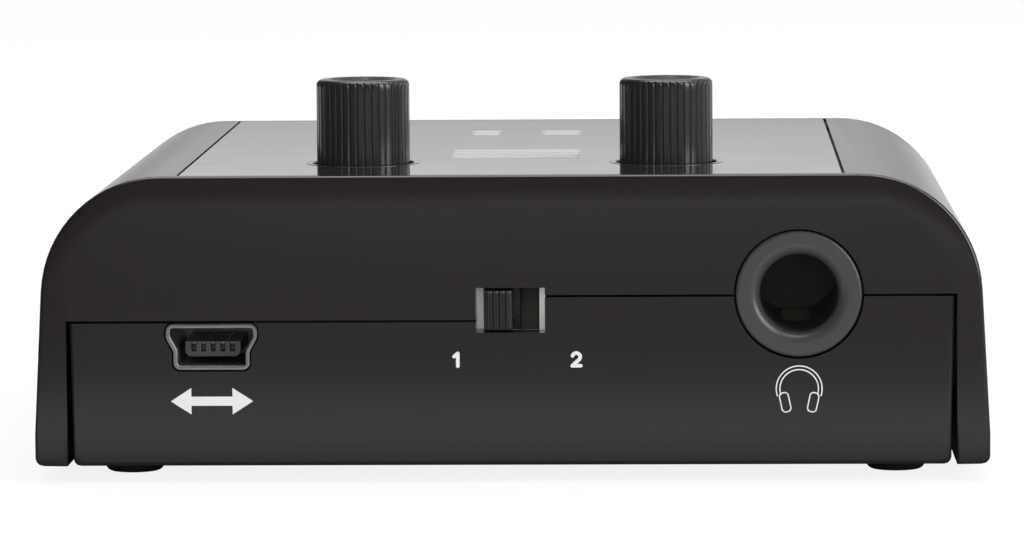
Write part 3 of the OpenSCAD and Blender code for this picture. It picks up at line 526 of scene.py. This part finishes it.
for side in ("left", "right"):
    low, high, middle = box_of(side + "_knob")
    r, h = (high[0] - low[0]) / 2, high[2] - low[2]
    dish_r = r - knob_round - knob_rim
    # rows along the wall, so that the grooves can fade out under the rounded edge
    wall = np.linspace(wall_foot, h - knob_round, wall_rows)
    roof = h - shaft_roof
    underside = rounded([(0, roof), (shaft_fit, roof), (shaft_fit, 0), (r, 0), (r, wall[0])],
                        [0, 0.05, 0.1, knob_foot_round, 0], steps=7, closed=False)
    crown = rounded([(r, wall[-1]), (r, h), (dish_r, h), (dish_r - knob_dish_slope, h - knob_dish),
                     (0, h - knob_dish)], [0, knob_round, 0.25, 0.5, 0], steps=7, closed=False)
    profile = np.vstack([underside, np.stack([np.full(wall_rows, r), wall], 1), crown])
    # each groove is round in section
    turn = whole_turn(knob_grooves * steps_per_groove)
    across_groove = np.abs((turn * knob_grooves / (2 * pi)) % 1 - 0.5) / (knob_groove_share / 2)
    groove = np.clip(1 - across_groove ** 2, 0, 1) ** 0.5
    outside = profile[:, :1] > r - 0.75 * knob_round
    fade = np.clip((h - knob_groove_top - profile[:, 1:]) / knob_groove_fade, 0, 1)
    knob = surface(side + "_grip", satin_abs, turned(
        profile, turn, (middle[0], middle[1], low[2]), shrink=outside * fade * groove * knob_groove_depth))
    settle(knob, side + "_knob")

# a thin bezel lies over the edge of each hole and narrows its gap
bezel_inner_r, bezel_outer_r, bezel_t, bezel_proud = 4.25, 4.8, 0.3, 0.03
ring_steps = 96
top_z = box_of("top_panel")[1][2]
bezel_high = top_z + bezel_proud
bezel_low = bezel_high - bezel_t
bezel_profile = rounded([(bezel_inner_r, bezel_low), (bezel_outer_r, bezel_low),
                         (bezel_outer_r, bezel_high), (bezel_inner_r, bezel_high)],
                        [0.05, 0.05, 0.03, 0.12])
bezel_profile = np.vstack([bezel_profile, bezel_profile[:1]])
for side in ("left", "right"):
    bezel = surface(side + "_hole_bezel", gloss_acrylic, turned(
        bezel_profile, whole_turn(ring_steps), (*box_of(side + "_knob")[2][:2], 0)))
    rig.ride(bezel, "case")
    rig.slot(bezel, slot_of["top_panel"])

# ---------------------------------------------------------------- USB port
# The mini socket's shell is folded from tinned steel sheet; its rim is flat with softened edges.
# Inside, a black nylon tongue carries five contacts in its grooves, flash gold over nickel.
def tint(tree, shader, place, pattern_mm, code_a, code_b):
    """Lets the base colour wander between two shades with noise of that spacing."""
    noise = add(tree, "TexNoise", {"Vector": place, "Scale": per_metre(pattern_mm), "Detail": 4.0})
    mix = add(tree, "Mix", {0: noise.outputs["Fac"], 6: linear(code_a), 7: linear(code_b)},
              data_type="RGBA")
    tree.links.new(mix.outputs[2], shader.inputs["Base Color"])


def swept_outline(outline, stations):
    """Carries a closed XZ outline to the rear: each station gives its growth g and its depth y.

    Point = outline + g * its outward normal, at depth y; a growth of None closes on the middle.
    """
    following = np.roll(outline, -1, 0)
    ahead = following - np.roll(outline, 1, 0)
    twice_area = (outline[:, 0] * following[:, 1] - outline[:, 1] * following[:, 0]).sum()
    normal = unit(np.stack([ahead[:, 1], -ahead[:, 0]], 1)) * np.sign(twice_area)
    rows = []
    for growth, depth in stations:
        ring = outline * 0 + outline.mean(0) if growth is None else outline + growth * normal
        rows.append(np.stack([ring[:, 0], np.full(len(ring), depth), ring[:, 1]], 1))
    grid = np.stack(rows)
    return np.concatenate([grid, grid[:, :1]], 1)


def rolled_edge(outer, inner, depth, r, steps=5):
    """Stations of a flat rim between two growths at that depth, both its edges rounded by r."""
    turn = np.linspace(0, pi / 2, steps)
    into = [(outer - r + r * c, depth + r - r * s) for c, s in zip(np.cos(turn), np.sin(turn))]
    return into + [(inner + r - r * s, depth + r - r * c) for c, s in zip(np.cos(turn), np.sin(turn))]


port_sheet = 0.38
port_step = 0.62
port_corner = 0.6
port_bend_up = 0.75
port_bend_down = 0.4
port_edge_round = 0.09
port_back_edge = 0.3

# tin plate: light grey, with a soft shine that is slightly mottled
tinned_steel, tree, shader, place = new_finish("tinned_steel_sheet", "#aaa8a6", 0.36, metallic=0.96)
vary(tree, shader, place, "Roughness", 1.2, (0.3, 0.3), (0.7, 0.44))
grain(tree, shader, place, 0.35, 0.004)

low, high, middle = box_of("usb_shell")
w, h = (high[0] - low[0]) / 2, (high[2] - low[2]) / 2
port_outline = rounded(
    [(-w, h), (w, h), (w, port_bend_up), (w - port_step, -port_bend_down), (w - port_step, -h),
     (port_step - w, -h), (port_step - w, -port_bend_down), (-w, port_bend_up)],
    port_corner, steps=7) + np.array([middle[0], middle[2]])
port = surface("usb_rim", tinned_steel, swept_outline(port_outline, [
    (None, high[1]), (-port_back_edge, high[1]), (0, high[1] - port_back_edge),
    *rolled_edge(0, -port_sheet, low[1], port_edge_round),
    (-port_sheet, high[1] - port_sheet), (None, high[1] - port_sheet)]))
settle(port, "usb_shell")

# glass-filled nylon: a dull charcoal, a little lighter than the case
black_nylon, tree, shader, place = new_finish("moulded_black_nylon", "#323033", 0.32, ior=1.53)
vary(tree, shader, place, "Roughness", 2.5, (0.3, 0.28), (0.7, 0.36))
grain(tree, shader, place, 0.3, 0.006)
dress("usb_tongue", black_nylon, edge_mm=0.06)

# flash gold over nickel, with its colour greyed and dulled as painted shade, because the contacts and springs sit in
# shadow
gold_greyed_as_painted_shade, tree, shader, place = new_finish("flash_gold_over_nickel", "#8c8676", 0.4, metallic=0.9)
vary(tree, shader, place, "Roughness", 0.8, (0.3, 0.34), (0.7, 0.5))
tint(tree, shader, place, 1.0, "#8f8979", "#827c6c")
dress("usb_contacts", gold_greyed_as_painted_shade, edge_mm=0.03)

# ---------------------------------------------------------------- Source switch
# A slide switch behind a window: a bright plated frame, whose slot the ridged black acetal
# actuator runs in, closed at the back by a hard-paper plate with six soldered terminals.

# frosted tin in a shaded slot: it scatters the little light that gets in, so it is nearly all
# diffuse
bright_tin, tree, shader, place = new_finish("bright_tin_plate", "#f8f7f5", 0.45, metallic=0.1)
vary(tree, shader, place, "Roughness", 1.5, (0.3, 0.34), (0.7, 0.46))
grain(tree, shader, place, 0.5, 0.004)
dress("switch_frame", bright_tin, edge_mm=0.08)
for node in ("switch_terminals", "left_pot_terminals", "right_pot_terminals"):
    dress(node, bright_tin, edge_mm=0.05)

# acetal: waxy black, with a small soft light on each ridge
acetal, tree, shader, place = new_finish("black_acetal", "#201f21", 0.28, ior=1.48)
vary(tree, shader, place, "Roughness", 1.5, (0.3, 0.24), (0.7, 0.36))
grain(tree, shader, place, 0.2, 0.005)

ridges = 4
ridge_depth = 0.22
ridge_round = 0.12
ridge_sharpness = 1.5
ridge_fullness = 1.6
plate_over_w = 1.2
plate_over_h = 1.6
plate_t = 1.2
plate_edge = 0.1
plate_corner = 0.2
face_rows, face_columns = 9, 61
low, high, middle = box_of("switch_slider")
neck_w = high[0] - low[0] - plate_over_w
neck_h = high[2] - low[2] - plate_over_h
plate_front, plate_back = high[1] - plate_t, high[1]
# ridged thumb face: a height field whose front rises and falls with a rounded wave across it
across = np.linspace(-neck_w / 2 + ridge_round, neck_w / 2 - ridge_round, face_columns)
up = np.linspace(-neck_h / 2 + ridge_round, neck_h / 2 - ridge_round, face_rows)
wave = 1 - np.abs(np.cos(pi * ridges * (across / (neck_w - 2 * ridge_round) + 0.5)))
ridged = np.clip(ridge_fullness * wave ** ridge_sharpness, 0, 1)
face = np.stack(np.broadcast_arrays(
    middle[0] + across, low[1] + ridge_depth * (1 - ridged), middle[2] + up[:, None]), -1)


def lowered(grid, row_shift, depth):
    """The border row of a grid, moved up or down by row_shift and back to that depth."""
    edge = grid.copy()
    edge[:, 1] = depth
    edge[:, 2] += row_shift
    return edge


thumb = np.stack([
    lowered(face[0], 0.0, plate_front), lowered(face[0], -ridge_round, plate_front),
    face[0] + np.array([0, ridge_round, -ridge_round]), *face,
    face[-1] + np.array([0, ridge_round, ridge_round]),
    lowered(face[-1], ridge_round, plate_front), lowered(face[-1], 0.0, plate_front)])
left_edge, right_edge = thumb[:, :1].copy(), thumb[:, -1:].copy()
left_edge[..., 0] -= ridge_round
right_edge[..., 0] += ridge_round
left_back, right_back = left_edge.copy(), right_edge.copy()
left_edge[..., 1] = np.minimum(left_edge[..., 1] + ridge_round, plate_front)
right_edge[..., 1] = np.minimum(right_edge[..., 1] + ridge_round, plate_front)
left_back[..., 1] = right_back[..., 1] = plate_front
thumb = np.concatenate([left_back, left_edge, thumb, right_edge, right_back], 1)
# the plate behind it slides inside the frame; its edges are softened
plate_outline = rounded([(low[0], low[2]), (high[0], low[2]), (high[0], high[2]), (low[0], high[2])],
                        plate_corner)
plate = swept_outline(plate_outline, [
    (None, plate_front), (-plate_edge, plate_front), (0, plate_front + plate_edge),
    (0, plate_back - plate_edge), (-plate_edge, plate_back), (None, plate_back)])
slider = surface("switch_thumb", acetal, thumb, plate)
settle(slider, "switch_slider")

# ---------------------------------------------------------------- Headphone jack
# The jack's body is moulded in black nylon, with a round nose through the port face and a
# softly rounded mouth. Two bronze springs, plated as the USB contacts are, stand in its bore.
dress("jack_housing", black_nylon, edge_mm=0.12)
# the springs take the same gold, greyed as painted shade
dress("jack_springs", gold_greyed_as_painted_shade, edge_mm=0.05)

# ---------------------------------------------------------------- Feet and case screws
# Four round rubber feet are glued into shallow recesses of the base. Four zinc-plated
# self-tapping screws with a cross recess hold base, board and cover together.

# rubber: matt and nearly black, with no clear reflection in it
rubber, tree, shader, place = new_finish("black_rubber", "#1b1a1b", 0.72, ior=1.52)
vary(tree, shader, place, "Roughness", 1.5, (0.3, 0.62), (0.7, 0.82))
grain(tree, shader, place, 0.12, 0.012)

tread_round = 0.55
dimple_depth = 0.12
dimple_share = 0.55
dimple_rim_share = 0.65
foot_steps = 64
for node in ("front_left_foot", "front_right_foot", "rear_left_foot", "rear_right_foot"):
    low, high, middle = box_of(node)
    r, h = (high[0] - low[0]) / 2, high[2] - low[2]
    foot_profile = rounded([(0, dimple_depth), (r * dimple_share, dimple_depth), (r * dimple_rim_share, 0),
                            (r, 0), (r, h), (0, h)],
                           [0, 0.2, 0.15, tread_round, 0.1, 0], steps=7, closed=False)
    foot = surface(node + "_pad", rubber, turned(
        foot_profile, whole_turn(foot_steps), (middle[0], middle[1], 0)))
    settle(foot, node)

# zinc plate: pale grey and satin, in faint cloudy patches
zinc, tree, shader, place = new_finish("zinc_plated_steel", "#a9a9a6", 0.34, metallic=1.0)
vary(tree, shader, place, "Roughness", 0.9, (0.3, 0.26), (0.7, 0.46))
tint(tree, shader, place, 1.2, "#b2b2b0", "#98989a")
dress("case_screws", zinc, edge_mm=0.08)

# ---------------------------------------------------------------- Phono jacks
# Each pair stands on a moulded block. A nickel-plated brass sleeve surrounds a nylon core,
# white for the left channel and red for the right, with a sprung gold-plated pin tube in it.
sleeve_wall = 0.55
sleeve_groove = 0.12
# where the groove starts, reaches its floor, leaves it and ends, measured from the rear edge
groove_marks = (1.6, 1.35, 1.15, 0.9)

# nickel plate: a slightly yellow mirror, gently rippled
bright_nickel, tree, shader, place = new_finish("bright_nickel_plate", "#c9c4ba", 0.2, metallic=1.0)
vary(tree, shader, place, "Roughness", 2.0, (0.3, 0.14), (0.7, 0.28))
grain(tree, shader, place, 1.2, 0.006)

# gold plate: a warm yellow shine, duller in small patches
gold_plate, tree, shader, place = new_finish("gold_plate", "#d3ab62", 0.22, metallic=1.0)
vary(tree, shader, place, "Roughness", 0.8, (0.3, 0.16), (0.7, 0.32))
tint(tree, shader, place, 1.5, "#d8b26a", "#c59a52")

# unfilled nylon: an even colour with a soft gloss, faintly clouded
white_nylon, tree, shader, place = new_finish("moulded_white_nylon", "#e4e2dc", 0.3, ior=1.53)
vary(tree, shader, place, "Roughness", 2.0, (0.3, 0.24), (0.7, 0.38))
grain(tree, shader, place, 0.5, 0.005)
tint(tree, shader, place, 3.0, "#e6e4de", "#dddbd4")

red_nylon, tree, shader, place = new_finish("moulded_red_nylon", "#a81d26", 0.3, ior=1.53)
vary(tree, shader, place, "Roughness", 2.0, (0.3, 0.24), (0.7, 0.38))
grain(tree, shader, place, 0.5, 0.005)
tint(tree, shader, place, 3.0, "#ae1f29", "#9c1a22")

for pair in ("input", "output"):
    dress(pair + "_jack_block", black_nylon, edge_mm=0.15)
    for channel, nylon in (("left", white_nylon), ("right", red_nylon)):
        jack = pair + "_" + channel
        low, high, middle = box_of(jack + "_sleeve")
        r = (high[0] - low[0]) / 2
        groove_start, floor_start, floor_end, groove_end = high[1] - np.array(groove_marks)
        sleeve_profile = rounded(
            [(r - sleeve_wall, low[1]), (r, low[1]), (r, groove_start), (r - sleeve_groove, floor_start),
             (r - sleeve_groove, floor_end), (r, groove_end), (r, high[1]), (r - sleeve_wall, high[1])],
            [0.05, 0.05, 0.15, 0.12, 0.12, 0.15, sleeve_wall * 0.49, sleeve_wall * 0.49], steps=5)
        sleeve_profile = np.vstack([sleeve_profile, sleeve_profile[:1]])
        barrel = surface(jack + "_barrel", bright_nickel, turned(
            sleeve_profile, whole_turn(ring_steps), (middle[0], 0, middle[2]), along="y"))
        settle(barrel, jack + "_sleeve")
        dress(jack + "_insulator", nylon, edge_mm=0.1)
        dress(jack + "_contact", gold_plate)

# ---------------------------------------------------------------- Ground terminal
# A threaded nickel-plated post is fixed by a hex nut. The turntable's ground lead goes under a
# captive washer, and a knurled thumb nut clamps it, 0.7 mm for each turn.
thread_pitch = 0.7
thread_depth = 0.3
thread_rows = 161
post_steps = 48
shank_r = 2.0
stud_head_l = 2.4
lead_in_l = 0.5
lead_in_depth = 0.45

low, high, middle = box_of("ground_post")
post_axis = (middle[0], 0, middle[2])
turn = whole_turn(post_steps)
# the thread is a ridge whose height falls off evenly to both sides, and it runs out at the tip
rows = np.linspace(box_of("ground_hex_nut")[0][1], high[1], thread_rows)
helix = (rows[:, None] / thread_pitch - turn / (2 * pi)) % 1
ridge = 1 - 2 * np.abs(helix - 0.5)
full_depth = np.clip((high[1] - rows[:, None]) / lead_in_l, 0, 1)
cut = thread_depth * (1 - ridge) * full_depth + lead_in_depth * (1 - full_depth)
thread = turned(np.stack([np.full(thread_rows, shank_r), rows], 1), turn, post_axis, "y", cut)
poles = [np.broadcast_to(np.array([middle[0], y, middle[2]]), (1, post_steps + 1, 3))
         for y in (rows[0], rows[-1])]
head_r, head_y = (high[0] - low[0]) / 2, low[1] + stud_head_l
head_profile = rounded([(0, low[1]), (head_r, low[1]), (head_r, head_y), (shank_r, head_y),
                        (shank_r, rows[0]), (0, rows[0])],
                       [0, 0.3, 0.15, 0.1, 0.05, 0], steps=5, closed=False)
stud = surface("ground_stud", bright_nickel, np.concatenate([poles[0], thread, poles[1]]),
               turned(head_profile, turn, post_axis, "y"))
settle(stud, "ground_post")

dress("ground_hex_nut", bright_nickel, edge_mm=0.2)
dress("ground_washer", bright_nickel, edge_mm=0.1)

knurls = 36
knurl_depth = 0.28
knurl_edge = 0.25
knurl_fade = 0.2
knurl_reach = 0.5
knurl_fullness = 0.7
steps_per_knurl = 8
rows_per_stretch = 8
nut_play = 0.06
nut_rim = 1.3
nut_dish = 0.25
nut_dish_slope = 0.2

low, high, middle = box_of("ground_thumb_nut")
r, hole_r = (high[0] - low[0]) / 2, shank_r + nut_play
dish_r, dish_y = r - nut_rim - nut_dish_slope, high[1] - nut_dish
nut_profile = rounded([(hole_r, low[1]), (r, low[1]), (r, high[1]), (r - nut_rim, high[1]),
                       (dish_r, dish_y), (hole_r, dish_y)],
                      [0.1, 0.35, 0.35, 0.1, 0.1, 0.15], steps=5)
# each stretch of the profile is cut into rows, so that the knurling can fade out at both edges
stretches = zip(nut_profile, np.roll(nut_profile, -1, 0))
nut_profile = np.vstack([np.linspace(a, b, rows_per_stretch, endpoint=False) for a, b in stretches]
                        + [nut_profile[:1]])
turn = whole_turn(knurls * steps_per_knurl)
knurl = np.abs(np.sin(turn * knurls / 2)) ** knurl_fullness
from_edge = np.minimum(nut_profile[:, 1:] - low[1], high[1] - nut_profile[:, 1:])
outside = nut_profile[:, :1] > r - knurl_reach
fade = np.clip((from_edge - knurl_edge) / knurl_fade, 0, 1)
thumb_nut = surface("ground_knurl", bright_nickel, turned(
    nut_profile, turn, (middle[0], 0, middle[2]), "y", outside * fade * (1 - knurl) * knurl_depth))
settle(thumb_nut, "ground_thumb_nut")

# ---------------------------------------------------------------- Inside
# The circuit board carries the potentiometers, the converter and amplifier chips, a crystal and
# five electrolytic capacitors. The closed case hides them, so they keep their plain forms.

# cured resist: glossy green over a slightly wavy face
solder_resist, tree, shader, place = new_finish("green_solder_resist", "#1f5a3a", 0.3, ior=1.55)
tint(tree, shader, place, 2.5, "#1c5636", "#256543")
grain(tree, shader, place, 1.6, 0.02)
dress("circuit_board", solder_resist, edge_mm=0.08)

# phenolic moulding: dark brown and dull
phenolic, tree, shader, place = new_finish("brown_phenolic_moulding", "#3d3a35", 0.5, ior=1.6)
vary(tree, shader, place, "Roughness", 1.5, (0.3, 0.42), (0.7, 0.58))
grain(tree, shader, place, 0.25, 0.01)
for node in ("left_pot_housing", "right_pot_housing", "switch_base"):
    dress(node, phenolic, edge_mm=0.15)
for node in ("left_pot_bracket", "right_pot_bracket", "ground_bracket"):
    dress(node, tinned_steel, edge_mm=0.08)
for node in ("left_pot_shaft", "right_pot_shaft"):
    dress(node, bright_nickel, edge_mm=0.1)

# moulded epoxy: charcoal and matt, with a sandy face
epoxy, tree, shader, place = new_finish("black_epoxy", "#2a2a2c", 0.55, ior=1.55)
vary(tree, shader, place, "Roughness", 0.8, (0.3, 0.48), (0.7, 0.64))
grain(tree, shader, place, 0.15, 0.01)
for node in ("codec_chip", "preamp_chips"):
    dress(node, epoxy, edge_mm=0.04)

# drawn nickel silver: clean and bright, duller in soft patches
can_metal, tree, shader, place = new_finish("drawn_nickel_silver_can", "#c9c9c6", 0.25, metallic=1.0)
vary(tree, shader, place, "Roughness", 1.2, (0.3, 0.18), (0.7, 0.34))
dress("crystal", can_metal, edge_mm=0.15)

# shrunk vinyl: dark blue, smooth and slightly glossy
shrink_sleeve, tree, shader, place = new_finish("blue_shrink_sleeve", "#223152", 0.28, ior=1.54)
vary(tree, shader, place, "Roughness", 1.5, (0.3, 0.22), (0.7, 0.36))
grain(tree, shader, place, 0.8, 0.01)
dress("electrolytic_capacitors", shrink_sleeve)

# ---------------------------------------------------------------- Printed marks
# Pad-printed in white ink, about a fiftieth of a millimetre thick: a double arrow under the
# port, a 1 and a 2 beside the switch, a headphone sign, and plain stripes on the panel.
def arc(centre, radius, start, end, steps=25):
    """Points of an arc between two angles in degrees."""
    turn = np.radians(np.linspace(start, end, steps))
    return np.stack([centre[0] + radius * np.cos(turn), centre[1] + radius * np.sin(turn)], 1)


def joined(*points, steps=6):
    """Straight lines through the points, each cut into steps."""
    pairs = zip(points[:-1], points[1:])
    return np.vstack([np.linspace(a, b, steps, endpoint=False) for a, b in pairs] + [points[-1:]])


def stroke(path, pen, closed=False, steps=7):
    """Left and right edge of a line of that width along a path.

    The half width is constant along a closed path, and follows a half circle at open ends.
    """
    path = np.asarray(path, float)
    r = pen / 2
    if closed:
        ahead = unit(np.roll(path, -1, 0) - np.roll(path, 1, 0))
        line, ahead = np.vstack([path, path[:1]]), np.vstack([ahead, ahead[:1]])
        half_width = np.full(len(line), r)
    else:
        ahead = unit(np.gradient(path, axis=0))
        back = r * np.cos(np.linspace(0, pi / 2, steps))[:-1]
        line = np.vstack([path[0] - ahead[0] * back[:, None], path,
                          path[-1] + ahead[-1] * back[::-1, None]])
        cap_half = np.sqrt(r ** 2 - back ** 2)
        half_width = np.concatenate([cap_half, np.full(len(path), r), cap_half[::-1]])
        ahead = np.vstack([np.repeat(ahead[:1], len(back), 0), ahead,
                           np.repeat(ahead[-1:], len(back), 0)])
    aside = np.stack([-ahead[:, 1], ahead[:, 0]], 1) * half_width[:, None]
    return line + aside, line - aside


def printed(edges, thick, on_top=False):
    """Gives a mark its thickness: a strip round its two edges, from the surface to proud of it."""
    left, right = edges
    ring = [(left, 0), (left, thick), (right, thick), (right, 0), (left, 0)]
    if on_top:
        return np.stack([np.column_stack([p, np.full(len(p), top_z + lift)]) for p, lift in ring], 1)
    return np.stack([np.column_stack([p[:, 0], np.full(len(p), port_y - lift), p[:, 1]])
                     for p, lift in ring], 1)


ink_t = 0.02
ink_overlap = 0.001
port_y = box_of("base_shell")[0][1]

# pad-print ink: matt, a little grey and faintly uneven
white_ink, tree, shader, place = new_finish("white_pad_print", "#bebdbe", 0.55, ior=1.5)
vary(tree, shader, place, "Roughness", 0.6, (0.3, 0.48), (0.7, 0.62))
tint(tree, shader, place, 0.35, "#c1c0c1", "#b5b4b5")

# double arrow: half its height along its length, from tip over both heads to tip
port_x = box_of("usb_shell")[2][0]
arrow_z, arrow_l, arrow_head, arrow_half, arrow_shaft = 6.75, 6.8, 1.7, 1.1, 0.38
tip_x, neck_x = arrow_l / 2, arrow_l / 2 - arrow_head
arrow_x = port_x + np.array([-tip_x, -neck_x, -neck_x, neck_x, neck_x, tip_x])
arrow_h = np.array([0, arrow_half, arrow_shaft, arrow_shaft, arrow_half, 0])
front_marks = [(np.column_stack([arrow_x, arrow_z + arrow_h]),
                np.column_stack([arrow_x, arrow_z - arrow_h]))]

# numerals beside the switch, each of two strokes
digit_h, digit_pen, digit_z = 1.35, 0.3, 9.45
foot_z, head_z = digit_z + digit_pen / 2, digit_z + digit_h - digit_pen / 2
one_x, flag_w, flag_h = -4.34, 0.3, 0.26
two_x, bow_r, two_left, two_right = 5.41, 0.32, 0.34, 0.36
bow = arc((two_x, head_z - bow_r), bow_r, 165, -40)
front_marks += [stroke(path, digit_pen) for path in (
    joined((one_x, head_z), (one_x, foot_z)),
    joined((one_x - flag_w, head_z - flag_h), (one_x, head_z)),
    np.vstack([bow, joined(tuple(bow[-1]), (two_x - two_left, foot_z))[1:]]),
    joined((two_x - two_left, foot_z), (two_x + two_right, foot_z)))]

# headphone sign: a band and two outlined ear cups that lean in
sign_x, sign_pen = box_of("jack_housing")[2][0], 0.1
band_z, band_r, band_w, band_over = 7.64, 1.73, 0.3, 18
cup_w, cup_h, cup_round, cup_x, cup_z, cup_lean = 0.74, 1.6, 0.3, 1.15, 6.52, 12
front_marks += [stroke(arc((sign_x, band_z), band_r + side * band_w / 2, -band_over, 180 + band_over, 41),
                       sign_pen) for side in (-1, 1)]
for side in (-1, 1):
    cup = rounded([(-cup_w / 2, -cup_h / 2), (cup_w / 2, -cup_h / 2), (cup_w / 2, cup_h / 2),
                   (-cup_w / 2, cup_h / 2)], cup_round, steps=6)
    lean = radians(cup_lean) * side
    spin = np.array([[cos(lean), -sin(lean)], [sin(lean), cos(lean)]])
    cup = cup @ spin + np.array([sign_x + side * cup_x, cup_z])
    front_marks.append(stroke(cup, sign_pen, closed=True))

# overlapping strokes lie a thousandth of a millimetre over each other
face_marks = surface("port_face_marks", white_ink, *[
    printed(mark, ink_t + ink_overlap * i) for i, mark in enumerate(front_marks)])
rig.ride(face_marks, "case")
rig.slot(face_marks, "white_nylon")

# stripes on the panel between the dials and two shorter groups behind them
stripe_pen, stripe_pitch = 1.5, 1.9
stripes = []
for from_x, to_x, first_y, count in ((-5.1, 4.6, -17.1, 5), (-4.35, -3.05, 9.1, 3), (2.0, 4.2, 9.1, 3)):
    stripes += [stroke(joined((from_x, y), (to_x, y)), stripe_pen)
                for y in first_y + stripe_pitch * np.arange(count)]
top_marks = surface("panel_marks", white_ink, *[printed(mark, ink_t, on_top=True) for mark in stripes])
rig.ride(top_marks, "case")
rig.slot(top_marks, "white_nylon")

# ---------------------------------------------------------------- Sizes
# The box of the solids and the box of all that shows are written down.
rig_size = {"cad": [list(corner) for corner in cad_box], "visual": [list(corner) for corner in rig.bounds()]}
with open("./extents.json", "w") as file:
    json.dump(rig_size, file)
